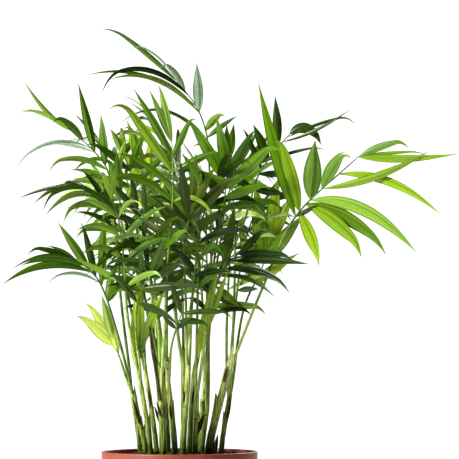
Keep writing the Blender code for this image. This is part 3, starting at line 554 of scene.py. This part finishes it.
# Petioles that have lost their blades, by cane
DEAD_PETIOLES = {"e": ((-20, -45, 56), (-24, -45, 84), (-29, -44, 112), (-32, -42, 142))}
DEAD_RADII = (1.9, 1.1)
DRY_TONES = ((26, 16, 6), (52, 34, 16), (104, 80, 48))
DEAD_TONES = ((28, 25, 8), (56, 50, 20), (102, 96, 50))
TIP_TONES = ((52, 40, 20), (88, 70, 36), (120, 100, 60))
POT_TONES = ((122, 55, 38), (134, 65, 45), (146, 76, 55))
SOIL_TONES = ((26, 18, 14), (50, 38, 28), (84, 66, 48))
STUDIO_TONES = ((238, 238, 236), (241, 241, 240), (244, 244, 243))
# Each tone's skin comes in three variants, which leaflets take by these weights
VARIANTS = ((1.0, 1.0, 1.0), (0.76, 0.82, 0.8), (1.16, 1.12, 1.2))
VARIANT_WEIGHTS = (5, 3, 2)

# Skins: texture scales, the noise values where one tone gives way to the next, and shine
VEIN_SCALE = (7, 0.25, 1)
VEIN_STOPS = ((0.34, 0.78), (0.50, 1.0), (0.66, 1.18))
STREAK_SCALE = (900, 900, 26)
DEAD_STREAK_SCALE = (900, 900, 60)
STREAK_STOPS = (0.30, 0.50, 0.70)
MOTTLE_STOPS = (0.34, 0.52, 0.72)
GRAIN_FINENESS = 7
LEAF_ROUGHNESS = (0.29, 0.46)
LEAF_GLOSS = 0.26
STEM_GLOSS = 0.3
SHARP_ANGLE = 55

# Fine leaflets: twists in degrees, depth in millimetres, the rest as shares of their length or width
TIP_CURLS = (0, 0, 0.5, 1.2)
TWISTS = (10, 20, 30, 50)
FOLDS = (0.10, 0.42)
BELLIES = (0.70, 0.84)
WAVES = (0.0, 0.05)
HALF_WIDTH = 0.53
SLIMMEST = 0.06
PLEAT = 0.045
SLIMMED = 0.84
BROWNED = 0.16
SPINE_POINTS = 25
FINE_REACH = 0.05
LEAF_DEPTH = 0.36
LEAF_RINGS = 18
LEAF_HALF_COLUMNS = 4
VEINS_A_SIDE = 3
FILLER_SEED = 19

# Fine stems, pot and soil
STEM_POINTS = 49
STEM_SIDES = 10
HUG = 0.8
HUGGING_PART = 0.25
CANE_FINE_SIDES = 16
NODE_GAP = 24
NODE_SWELL = 0.22
NODE_HALF_LENGTH = 1.2
SUNK = 3
SHEATH_SIDES = 24
SHEATH_STEPS = 8
DRAIN_FINE_SIDES = 20
SOIL_SEED = 31
SOIL_STEPS = 128
SOIL_RINGS = 34
MOUND = 4
LUMPS = 14
CRUMBS = 1100

# Studio: its walls' grey by how far they face the white side, and its lamps' places, sizes and watts
WHITE_SIDE = (0, 0.85, 0.5)
WALLS = ((0.0, 0.045), (0.3, 0.27), (0.8, 0.6))
LAMPS = (("key", (-1.9, -1.2, 1.5), 0.6, 120), ("back", (0.8, 1.8, 1.6), 1.6, 40))
LAMP_AIM = (0, 0, 0.35)

# Camera, in millimetres: it stands in front of the pot and looks up to a point over it
CAMERA_DISTANCE = 2200
CAMERA_X = 54.3
CAMERA_OVER_RIM = 94
AIM_OVER_RIM = 241.9
FRAME_WIDTH = 503.5
SENSOR_WIDTH = 36


def linear(colour, gain=(1, 1, 1)):
    """Screen values from 0 to 255 as the linear colour that a shader takes."""
    shares = [min(value * part / 255, 1) for value, part in zip(colour, gain)]
    return (*(((share + 0.055) / 1.055) ** 2.4 if share > 0.04 else share / 12.92 for share in shares), 1)


def node(tree, kind, inputs, **settings):
    """A new shader node. Each of its inputs takes a value, or the output of another node."""
    made = tree.nodes.new("ShaderNode" + kind)
    for key, value in settings.items():
        setattr(made, key, value)
    for key, value in inputs.items():
        if isinstance(value, bpy.types.NodeSocket):
            tree.links.new(value, made.inputs[key])
        else:
            made.inputs[key].default_value = value
    return made


def noise(tree, vector, scale, detail=4.0):
    return node(tree, "TexNoise", {"Vector": vector, "Scale": scale, "Detail": detail}).outputs["Fac"]


def stretched(tree, source, scale=(1, 1, 1)):
    """Texture coordinates, scaled by a different amount along each axis."""
    coordinates = node(tree, "TexCoord", {}).outputs[source]
    return node(tree, "Mapping", {"Vector": coordinates, "Scale": scale}).outputs["Vector"]


def ramp(tree, factor, stops):
    made = node(tree, "ValToRGB", {"Fac": factor})
    elements = made.color_ramp.elements
    elements[0].position, elements[0].color = stops[0]
    elements[1].position, elements[1].color = stops[-1]
    for position, colour in stops[1:-1]:
        elements.new(position).color = colour
    return made.outputs["Color"]


def new_skin(name):
    made = bpy.data.materials.new(name)
    made.use_nodes = True
    return made, made.node_tree


def dressed(made, roughness, factor, stops, relief, strength, distance, gloss=0.5):
    """The material with its shine, its colour from a factor by stops, and its relief."""
    tree = made.node_tree
    shader = tree.nodes["Principled BSDF"]
    shader.inputs["Roughness"].default_value = roughness
    shader.inputs["Specular IOR Level"].default_value = gloss
    bump = node(tree, "Bump", {"Height": relief, "Strength": strength, "Distance": distance})
    tree.links.new(ramp(tree, factor, stops), shader.inputs["Base Color"])
    tree.links.new(bump.outputs["Normal"], shader.inputs["Normal"])
    return made


def leaf_material(name, colour, gain, roughness):
    """Leaf skin: fine veins that run its length, and a mottled green."""
    made, tree = new_skin(name)
    veins = noise(tree, stretched(tree, "UV", VEIN_SCALE), 1.0, 3.0)
    stops = [(place, linear(colour, [part * share for part in gain])) for place, share in VEIN_STOPS]
    return dressed(made, roughness, veins, stops, veins, 0.35, 0.0004, LEAF_GLOSS)


def streaked_material(name, colours, roughness, scale=STREAK_SCALE, painted_shade_slope=0):
    """Stem skin: streaks that run up the stem, in three tones, with painted shade: it is painted darker
    towards the stem's foot and paler up it, by so much for each metre over or under a set height."""
    made, tree = new_skin(name)
    streaks = noise(tree, stretched(tree, "Object", scale), 1.0)
    # Painted shade: the streaks' factor shifts with height, darker low on the stem and paler up it
    height = node(tree, "SeparateXYZ", {"Vector": stretched(tree, "Object")}).outputs["Z"]
    over = node(tree, "Math", {0: height, 1: PAINTED_SHADE_LEVEL}, operation="SUBTRACT").outputs[0]
    mixed = node(tree, "Math", {0: over, 1: painted_shade_slope, 2: streaks}, operation="MULTIPLY_ADD").outputs[0]
    stops = list(zip(STREAK_STOPS, map(linear, colours)))
    return dressed(made, roughness, mixed, stops, streaks, 0.25, 0.0003, STEM_GLOSS)


def mottled_material(name, colours, roughness, scale, strength, distance):
    """A skin with an even mottle and grain, in three tones."""
    made, tree = new_skin(name)
    vector = stretched(tree, "Object")
    grain = noise(tree, vector, scale * GRAIN_FINENESS)
    stops = list(zip(MOTTLE_STOPS, map(linear, colours)))
    return dressed(made, roughness, noise(tree, vector, scale, 6.0), stops, grain, strength, distance)


def make_materials():
    made = {"tip": mottled_material("dry_tip", TIP_TONES, 0.8, 300, 0.3, 0.0003)}
    for tone, sides in TONES.items():
        for side, colour, roughness in zip(("upper", "under"), sides, LEAF_ROUGHNESS):
            for k, gain in enumerate(VARIANTS):
                made[tone, side, k] = leaf_material(f"leaf_{tone}_{side}_{k + 1}", colour, gain, roughness)
    for tone, colours in STEM_TONES.items():
        made[tone] = streaked_material(tone, colours, 0.32, painted_shade_slope=PAINTED_SHADE_SLOPES.get(tone, 0))
    made["dry"] = streaked_material("dry_scale", DRY_TONES, 0.8)
    made["dead"] = streaked_material("dead_petiole", DEAD_TONES, 0.7, DEAD_STREAK_SCALE)
    made["pot"] = mottled_material("pot_plastic", POT_TONES, 0.46, 26, 0.12, 0.0002)
    made["soil"] = mottled_material("soil", SOIL_TONES, 0.95, 190, 0.9, 0.002)
    return made


def circle(steps):
    """Angles round a circle, and their points at radius 1."""
    angles = np.linspace(0, 2 * math.pi, steps, endpoint=False)
    return angles, np.stack([np.cos(angles), np.sin(angles), np.zeros(steps)], axis=1)


def linked(name, data):
    """A new object of the scene."""
    made = bpy.data.objects.new(name, data)
    bpy.context.scene.collection.objects.link(made)
    return made


def piece(name, points, faces, looks, kinds=None, uvs=None):
    """A shown mesh from table millimetres. kinds gives each face's place in looks."""
    mesh = bpy.data.meshes.new(name)
    mesh.from_pydata(((np.asarray(points) + [0, 0, POT_HEIGHT]) * MM).tolist(), [], faces)
    for look in looks:
        mesh.materials.append(look)
    if kinds is not None:
        mesh.polygons.foreach_set("material_index", kinds)
    if uvs is not None:
        layer = mesh.uv_layers.new(name="UVMap")
        corners = np.empty(len(mesh.loops), dtype=int)
        mesh.loops.foreach_get("vertex_index", corners)
        layer.data.foreach_set("uv", np.asarray(uvs)[corners].ravel())
    mesh.shade_smooth()
    mesh.set_sharp_from_angle(angle=math.radians(SHARP_ANGLE))
    return linked(name, mesh)


class Joined:
    """Shapes gathered into one mesh, each with its own looks and texture coordinates."""

    def __init__(self):
        self.points, self.faces, self.kinds, self.uvs = [], [], [], []
        self.looks = []
        self.total = 0

    def add(self, points, faces, kinds=None, uvs=None, looks=()):
        places = []
        for look in looks:
            if look not in self.looks:
                self.looks.append(look)
            places.append(self.looks.index(look))
        kinds = [0] * len(faces) if kinds is None else kinds
        self.points.append(np.asarray(points))
        self.faces += [[k + self.total for k in face] for face in faces]
        self.kinds += [places[kind] for kind in kinds]
        self.uvs.append(np.zeros((len(points), 2)) if uvs is None else np.asarray(uvs))
        self.total += len(points)

    def make(self, name):
        return piece(name, np.vstack(self.points), self.faces, self.looks, self.kinds, np.vstack(self.uvs))


def closed_loft(rings):
    """Points and faces of a tube through rings of points, with a fan at either end."""
    rings = np.asarray(rings)
    count, size = rings.shape[:2]
    points = np.vstack([rings.reshape(-1, 3), rings[0].mean(axis=0), rings[-1].mean(axis=0)])
    faces = wall_faces(count, size) + [[(k + 1) % size, k, count * size] for k in range(size)]
    top = (count - 1) * size
    faces += [[top + k, top + (k + 1) % size, count * size + 1] for k in range(size)]
    return points, faces


def tube(line, radii, sides):
    """A closed round tube along a line."""
    flat = circle(sides)[1]
    rings = []
    for i, (centre, radius) in enumerate(zip(line, radii)):
        ahead = unit(line[min(i + 1, len(line) - 1)] - line[max(i - 1, 0)])
        across = unit(np.cross(SLANT, ahead))
        rings.append(centre + radius * (flat @ np.array([across, np.cross(ahead, across), ahead])))
    return closed_loft(rings)


def curled(spine, curl):
    """The midrib with its last quarter bent down towards a hanging tip."""
    steps = np.diff(spine, axis=0)
    for k, step in enumerate(steps):
        part = max(4 * (k + 1) / len(steps) - 3, 0)
        length = np.linalg.norm(step)
        steps[k] = length * unit(step / length - np.array([0, 0, curl * part]))
    return np.vstack([spine[:1], spine[0] + np.cumsum(steps, axis=0)])


def fine_leaf(leaf, rng):
    """A thin pleated blade: points, faces, which faces are under side or tip, and texture coordinates."""
    spine = curled(midrib(leaf, SPINE_POINTS), rng.choice(TIP_CURLS))
    fold, belly = rng.uniform(*FOLDS), rng.uniform(*BELLIES)
    twist = math.radians(rng.choice(TWISTS) * rng.uniform(-1, 1))
    wave, phase = rng.uniform(*WAVES), rng.uniform(0, 2 * math.pi)
    columns = np.linspace(-1, 1, 2 * LEAF_HALF_COLUMNS + 1)
    shares = np.concatenate([columns, columns[-2:0:-1]])
    rings, uvs = [], []
    for part in 1 - (1 - np.linspace(0.015, 0.985, LEAF_RINGS)) ** 1.15:
        centre, ahead, over = leaf_frame(leaf, spine, part, FINE_REACH)
        turn = twist * part ** 1.4
        across = np.cross(ahead, over)
        across, over = (math.cos(turn) * across + math.sin(turn) * over,
                        math.cos(turn) * over - math.sin(turn) * across)
        half = HALF_WIDTH * leaf["width"] * max(math.sin(math.pi * part ** belly), SLIMMEST)
        heights = (-fold * np.abs(columns) * half * (1 - 0.5 * part)
                   + PLEAT * half * np.cos(2 * math.pi * VEINS_A_SIDE * columns)
                   + wave * half * np.abs(columns) ** 2 * math.sin(phase + 11 * part)
                   * np.sign(columns + 0.01))
        depth = LEAF_DEPTH / 2 * (1 - 0.6 * np.abs(columns)) * min(1, 0.3 + half)
        middle = centre + np.outer(columns * half, across) + np.outer(heights, over)
        under = (middle - np.outer(depth, over))[-2:0:-1]
        rings.append(np.vstack([middle + np.outer(depth, over), under]))
        uvs += [(0.5 + 0.5 * share, part * leaf["length"] / 100) for share in shares]
    points, faces = closed_loft(rings)
    uvs += [(0.5, 0), (0.5, leaf["length"] / 100)]
    size = 4 * LEAF_HALF_COLUMNS
    browned = rng.random() < BROWNED
    kinds = []
    for face in faces:
        is_under = max(k % size for k in face if k < size * LEAF_RINGS) > 2 * LEAF_HALF_COLUMNS
        at_tip = browned and min(face) >= size * (LEAF_RINGS - 2)
        kinds.append(2 if at_tip else int(is_under))
    points[-2] = leaf["base"]
    points[-1] = spine[-1]
    return points, faces, kinds, uvs


def between(side, rng):
    """Slimmer leaflets for the gaps between a row's own."""
    mean = {key: (np.array(side[key][1:], float) + np.array(side[key][:-1], float)) / 2
            for key in ("at", "angle", "length", "droop", "width")}
    for k in range(len(mean["at"])):
        mean["angle"][k] += rng.uniform(-9, 9)
        mean["length"][k] *= rng.uniform(0.75, 1.0)
        mean["width"][k] *= rng.uniform(0.7, 0.95)
        mean["droop"][k] += rng.uniform(0.1, 0.5)
    return {**side, **mean}


def fill_in(crowd, lines, settled):
    """More leaflets on the fronds of the crown's inside and back, each clear of what already stands."""
    rng = random.Random(FILLER_SEED)
    for made in fronds:
        if made["sides"][0][1]["lift"] < ARCH_LIFT or made["path"][-1][1] < 0:
            continue
        fuller = {**made, "sides": [(sign, between(side, rng)) for sign, side in made["sides"]]}
        for leaf in leaflets(fuller, lines[made["name"]], rng):
            fitting = fitted(crowd, made, leaf, CLEARANCE)
            if fitting:
                settled[made["name"]].append(fitting)
                crowd.hold(made["name"], *leaf_mesh(fitting))


def petiole_path(made, line):
    """The frond's line in fine steps, its foot drawn in over the cane's mouth so that petioles hug there."""
    top = np.array(CANES[made["cane"]][1], float)
    path = smooth_path(line, STEM_POINTS)
    parts = np.linspace(0, 1, STEM_POINTS)
    aside = (path[0] - top) * [1, 1, 0]
    return path - HUG * np.outer(np.maximum(1 - parts / HUGGING_PART, 0) ** 2, aside)


def fine_frond(made, line, kept, looks):
    """Petiole, rachis and leaflets of one frond as one piece, which stands for its solid."""
    name = made["name"]
    short = name.removeprefix("frond_")
    rng = random.Random("look of " + name)
    top = np.array(CANES[made["cane"]][1], float)
    path = petiole_path(made, line)
    root = cane_line(made["cane"])[0][-2] * 0.35 + top * 0.65
    axis = np.vstack([root, (root + path[0]) / 2 + [0, 0, 1], path])
    radii = np.concatenate([[PETIOLE_RADIUS, PETIOLE_RADIUS], axis_radii(len(path))])
    slimness = 1 if made["sides"][0][1]["lift"] < ARCH_LIFT else SLIMMED
    whole = Joined()
    points, faces = tube(axis, radii, STEM_SIDES)
    darkest = 1 if short in PALE_STEMS else 2
    palest = 2 if short in DARK_STEMS else 0
    kinds = [max(min(int(3.2 * min(face) / len(points)), darkest), palest) for face in faces]
    whole.add(points, faces, kinds, looks=[looks["petiole_" + tone] for tone in ("light", "mid", "dark")])
    for k, leaf in enumerate(kept):
        nearest = path[np.argmin(np.linalg.norm(path - leaf["base"], axis=1))]
        leaf = {**leaf, "base": nearest * 0.7 + leaf["base"] * 0.3, "width": leaf["width"] * slimness}
        variant = rng.choices((0, 1, 2), weights=VARIANT_WEIGHTS)[0]
        # Painted shade and light: some leaflets take a darker or paler tone than their frond for the shade
        # or light that falls on them
        tone = OWN_AND_PAINTED_LIGHT_TONES.get(short, {}).get(k, made["tone"])
        whole.add(*fine_leaf(leaf, rng), looks=[looks[tone, "upper", variant], looks[tone, "under", variant],
                                                looks["tip"]])
    shown = whole.make("leafy_" + name)
    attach(shown, "root")
    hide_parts(name)


def sheath(spine, radii, lip, bearing):
    """A thin sheath along a spine, whose slanted mouth runs up into a pointed lip on one side."""
    angles, flat = circle(SHEATH_SIDES)
    point = (0.5 + 0.5 * np.cos(angles - bearing)) ** 6
    rings = [centre + radius * flat + np.outer(lip * point * step ** 2, [0, 0, 1])
             for step, centre, radius in zip(np.linspace(0, 1, len(spine)), spine, radii)]
    rings.append(rings[-1] * 0.985 + spine[-1] * 0.015 - [0, 0, 0.3])
    rings.append(0.6 * spine[-2] + 0.4 * spine[-3] + 0.55 * (rings[-3] - spine[-2]))
    return closed_loft(rings)


def dry_scale(foot, tip, width, rng):
    """A dead scale that stands on a cane: a short dry blade."""
    foot, tip = np.array(foot, float), np.array(tip, float)
    blade = {"base": foot, "heading": unit(tip - foot), "upper": np.array([0, -1.0, 0.2]),
             "length": np.linalg.norm(tip - foot), "width": width, "droop": 0.0}
    return fine_leaf(blade, rng)[:2]


def fine_cane(name, paths, looks):
    """A cane with its nodes and the sheaths that clasp it; the last one clasps its petioles' feet too."""
    rng = random.Random("cane " + name)
    line, radii = cane_line(name)
    parts = np.linspace(0, 1, STEM_POINTS)
    coarse = np.linspace(0, 1, len(line))
    fine = at_part(parts, coarse, line)
    fine_radii = np.interp(parts, coarse, radii)
    height = line[-1][2] - line[0][2]
    for node_part in np.arange(0.18, 0.95, NODE_GAP / height) + rng.uniform(-0.04, 0.04):
        away = (parts - node_part) * height
        fine_radii = fine_radii + NODE_SWELL * np.exp(-(away / NODE_HALF_LENGTH) ** 2)
    fine[0, 2] -= SUNK
    whole = Joined()
    whole.add(*tube(fine, fine_radii, CANE_FINE_SIDES), looks=[looks["cane"]])

    def clasp(spine, around, lip):
        whole.add(*sheath(spine, around, lip, rng.uniform(0, 2 * math.pi)), looks=[looks["sheath"]])

    for low in np.arange(0.1, 0.62, 0.27) + rng.uniform(-0.06, 0.06):
        steps = np.linspace(low, low + rng.uniform(0.2, 0.34), SHEATH_STEPS)
        around = np.interp(steps, coarse, radii) + np.linspace(0.10, rng.uniform(0.2, 0.4), SHEATH_STEPS)
        clasp(at_part(steps, coarse, line), around, rng.uniform(8, 18))
    spine, around = [], []
    for rise in np.linspace(-0.35 * height, rng.uniform(10, 22), 12):
        if rise < 0:
            part = 1 + rise / height
            centre, reach = at_part(part, coarse, line), np.interp(part, coarse, radii)
        else:
            here = np.array([at_part(line[-1][2] + rise, path[:, 2], path) for path in paths])
            centre = here.mean(axis=0)
            reach = max(np.linalg.norm(here - centre, axis=1)) + PETIOLE_RADIUS * 0.9
            reach = min(max(reach, radii[-1] * (1 - rise / 40)), radii[-1] * 1.08)
        spine.append(centre)
        around.append(reach + 0.2)
    clasp(spine, around, rng.uniform(8, 14))
    for cane, foot, tip, width in DRY_SCALES:
        if cane == name:
            whole.add(*dry_scale(foot, tip, width, rng), looks=[looks["dry"]])
    if name in DEAD_PETIOLES:
        dead = smooth_path(np.array(DEAD_PETIOLES[name], float), SPINE_POINTS)
        whole.add(*tube(dead, np.linspace(*DEAD_RADII, SPINE_POINTS), STEM_SIDES), looks=[looks["dead"]])
    shown = whole.make("stem_" + name)
    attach(shown, "root")
    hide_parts("cane_" + name)


def revolved(profile, steps):
    """Rings of a solid of revolution, from its profile of radii and heights over the rim."""
    flat = circle(steps)[1]
    return [radius * flat + [0, 0, height] for radius, height in profile]


def arc(centre, radius, start, end, count):
    """Points of a rounded edge of a profile."""
    return [(centre[0] + radius * math.cos(math.radians(a)), centre[1] + radius * math.sin(math.radians(a)))
            for a in np.linspace(start, end, count)]


def make_pot(looks):
    """The pot: tapered wall, rounded collar and lip, drain holes in its floor."""
    floor = -POT_HEIGHT
    collar = -COLLAR_HEIGHT
    profile = [(0.5, floor), (FOOT_RADIUS - 4, floor)]
    profile += arc((FOOT_RADIUS - 1.5, floor + 1.5), 1.5, -90, -5, 5)
    profile += [(FOOT_RADIUS + WALL_SLOPE * (height - floor), height)
                for height in np.linspace(floor + 6, collar - 3, 12)]
    profile += arc((RIM_RADIUS - 1.4, collar), 1.0, -80, 0, 4)
    profile += [(RIM_RADIUS - 0.3, collar + 5), (RIM_RADIUS - 0.15, -6)]
    profile += arc((RIM_RADIUS - 1.2, -1.2), 1.2, 0, 180, 9)
    profile += [(RIM_RADIUS - WALL - 0.4, -6), (RIM_RADIUS - WALL - 1.0, -16),
                (FOOT_RADIUS + WALL_SLOPE * FLOOR - WALL + 1, floor + FLOOR + 4)]
    profile += arc((FOOT_RADIUS - WALL - 2, floor + FLOOR + 2), 2.0, 0, -90, 4)
    profile += [(0.5, floor + FLOOR)]
    points, faces = closed_loft(revolved(profile, POT_STEPS))
    shown = piece("plastic_pot", points, faces, [looks["pot"]])
    cutter = bmesh.new()
    for bearing in (np.arange(DRAIN_HOLES) + 0.5) * 360 / DRAIN_HOLES:
        hole = bmesh.ops.create_cone(cutter, cap_ends=True, segments=DRAIN_FINE_SIDES,
                                     radius1=DRAIN_RADIUS * MM, radius2=DRAIN_RADIUS * MM,
                                     depth=4 * FLOOR * MM)
        bmesh.ops.translate(cutter, verts=hole["verts"], vec=DRAIN_CIRCLE * MM * towards(bearing))
    mesh = bpy.data.meshes.new("drain_holes")
    cutter.to_mesh(mesh)
    cutter.free()
    holes = linked("drain_holes", mesh)
    cut = shown.modifiers.new("Drain holes", "BOOLEAN")
    cut.operation = "DIFFERENCE"
    cut.object = holes
    graph = bpy.context.evaluated_depsgraph_get()
    drilled = bpy.data.meshes.new_from_object(shown.evaluated_get(graph))
    shown.modifiers.clear()
    shown.data = drilled
    bpy.data.objects.remove(holes)
    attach(shown, "root")
    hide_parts("pot")


def soil_height(x, y, lumps):
    """Height of the soil's surface: level where the canes stand, falling to the wall, with lumps."""
    fall = np.interp(math.hypot(x, y), [0, SOIL_FLAT_RADIUS, SOIL_RADIUS],
                     [SOIL_MIDDLE + MOUND, SOIL_MIDDLE, SOIL_EDGE])
    return fall + sum(size * math.sin(x * kx + y * ky + phase) for kx, ky, phase, size in lumps)


def make_soil(looks):
    """Peaty potting soil: a lumpy surface under loose crumbs."""
    rng = random.Random(SOIL_SEED)
    lumps = [(rng.uniform(-0.5, 0.5), rng.uniform(-0.5, 0.5), rng.uniform(0, 6), rng.uniform(0.1, 0.5))
             for k in range(LUMPS)]
    edge = RIM_RADIUS - WALL - 2.2
    bottom = FLOOR - POT_HEIGHT + 0.5
    foot = FOOT_RADIUS - WALL - 1
    under_edge = FOOT_RADIUS + WALL_SLOPE * (POT_HEIGHT + SOIL_EDGE - 4) - WALL - 1
    rings = revolved(((1, bottom), (foot, bottom), (under_edge, SOIL_EDGE - 4)), SOIL_STEPS)
    for radius in np.linspace(edge, 1, SOIL_RINGS):
        rings.append(np.array([(x, y, soil_height(x, y, lumps))
                               for x, y, level in revolved([(radius, 0)], SOIL_STEPS)[0]]))
    whole = Joined()
    whole.add(*closed_loft(rings), looks=[looks["soil"]])
    crumb = bmesh.new()
    bmesh.ops.create_icosphere(crumb, subdivisions=1, radius=1)
    shape = np.array([vertex.co[:] for vertex in crumb.verts])
    crumb_faces = [[vertex.index for vertex in face.verts] for face in crumb.faces]
    crumb.free()
    for k in range(CRUMBS):
        away = edge * math.sqrt(rng.random()) * 0.985
        angle = rng.uniform(0, 2 * math.pi)
        x, y = away * math.cos(angle), away * math.sin(angle)
        size = 0.5 + 1.7 * rng.random() ** 3
        stretch = np.array([rng.uniform(0.7, 1.4), rng.uniform(0.7, 1.4), rng.uniform(0.5, 1.0)])
        jitter = np.array([[rng.uniform(0.75, 1.2)] for point in shape])
        centre = np.array([x, y, soil_height(x, y, lumps) + 0.3 * size])
        whole.add(centre + shape * jitter * stretch * size, crumb_faces, looks=[looks["soil"]])
    shown = whole.make("potting_soil")
    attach(shown, "root")
    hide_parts("soil")


def make_stage():
    """A round floor in a studio that is white behind and over the plant, and dimmer in front of it."""
    floor_material = mottled_material("studio_floor", STUDIO_TONES, 0.9, 3, 0.0, 0.001)
    bpy.ops.mesh.primitive_cylinder_add(vertices=96, radius=2.4, depth=0.02, location=(0, 0, -0.01))
    floor = bpy.context.object
    floor.name = "studio_floor"
    floor.data.materials.append(floor_material)

    world = bpy.data.worlds.new("studio")
    world.use_nodes = True
    tree = world.node_tree
    direction = node(tree, "TexCoord", {}).outputs["Generated"]
    facing = node(tree, "VectorMath", {0: direction, 1: WHITE_SIDE}, operation="DOT_PRODUCT")
    stops = [(place, (grey, grey, grey, 1)) for place, grey in WALLS]
    walls = node(tree, "Background", {"Color": ramp(tree, facing.outputs["Value"], stops)})
    backdrop = node(tree, "Background", {"Color": (1, 1, 1, 1)})
    seen = node(tree, "LightPath", {}).outputs["Is Camera Ray"]
    either = node(tree, "MixShader", {"Fac": seen, 1: walls.outputs[0], 2: backdrop.outputs[0]})
    tree.links.new(either.outputs["Shader"], tree.nodes["World Output"].inputs["Surface"])
    bpy.context.scene.world = world
    bpy.context.scene.view_settings.view_transform = "Standard"
    bpy.context.scene.view_settings.look = "Medium High Contrast"

    for name, place, size, power in LAMPS:
        lamp = bpy.data.lights.new(name, "AREA")
        lamp.size = size
        lamp.energy = power
        holder = linked(name, lamp)
        holder.location = place
        aim = Vector(LAMP_AIM) - Vector(place)
        holder.rotation_euler = aim.to_track_quat("-Z", "Y").to_euler()


def make_camera():
    """The photograph's view: a long lens just over the pot's rim, tilted up to the crown."""
    data = bpy.data.cameras.new("camera")
    rise = AIM_OVER_RIM - CAMERA_OVER_RIM
    data.sensor_width = SENSOR_WIDTH
    data.lens = SENSOR_WIDTH * math.hypot(CAMERA_DISTANCE, rise) / FRAME_WIDTH
    camera = linked("camera", data)
    camera.location = (CAMERA_X * MM, -CAMERA_DISTANCE * MM, (POT_HEIGHT + CAMERA_OVER_RIM) * MM)
    camera.rotation_euler = (math.radians(90) + math.atan2(rise, CAMERA_DISTANCE), 0, 0)
    bpy.context.scene.camera = camera


def main():
    looks = make_materials()
    crowd = Crowd()
    for name in CANES:
        line, radii = cane_line(name)
        crowd.hold("cane_" + name, *tube_mesh(line, radii + CLEARANCE, CANE_SIDES, level=True))
    lines = settle_axes(crowd)
    settled = settle_leaflets(crowd, lines)
    fill_in(crowd, lines, settled)
    for made in fronds:
        fine_frond(made, lines[made["name"]], settled[made["name"]], looks)
    for name in CANES:
        paths = [petiole_path(made, lines[made["name"]]) for made in fronds if made["cane"] == name]
        fine_cane(name, paths, looks)
    make_pot(looks)
    make_soil(looks)
    make_stage()
    make_camera()


main()
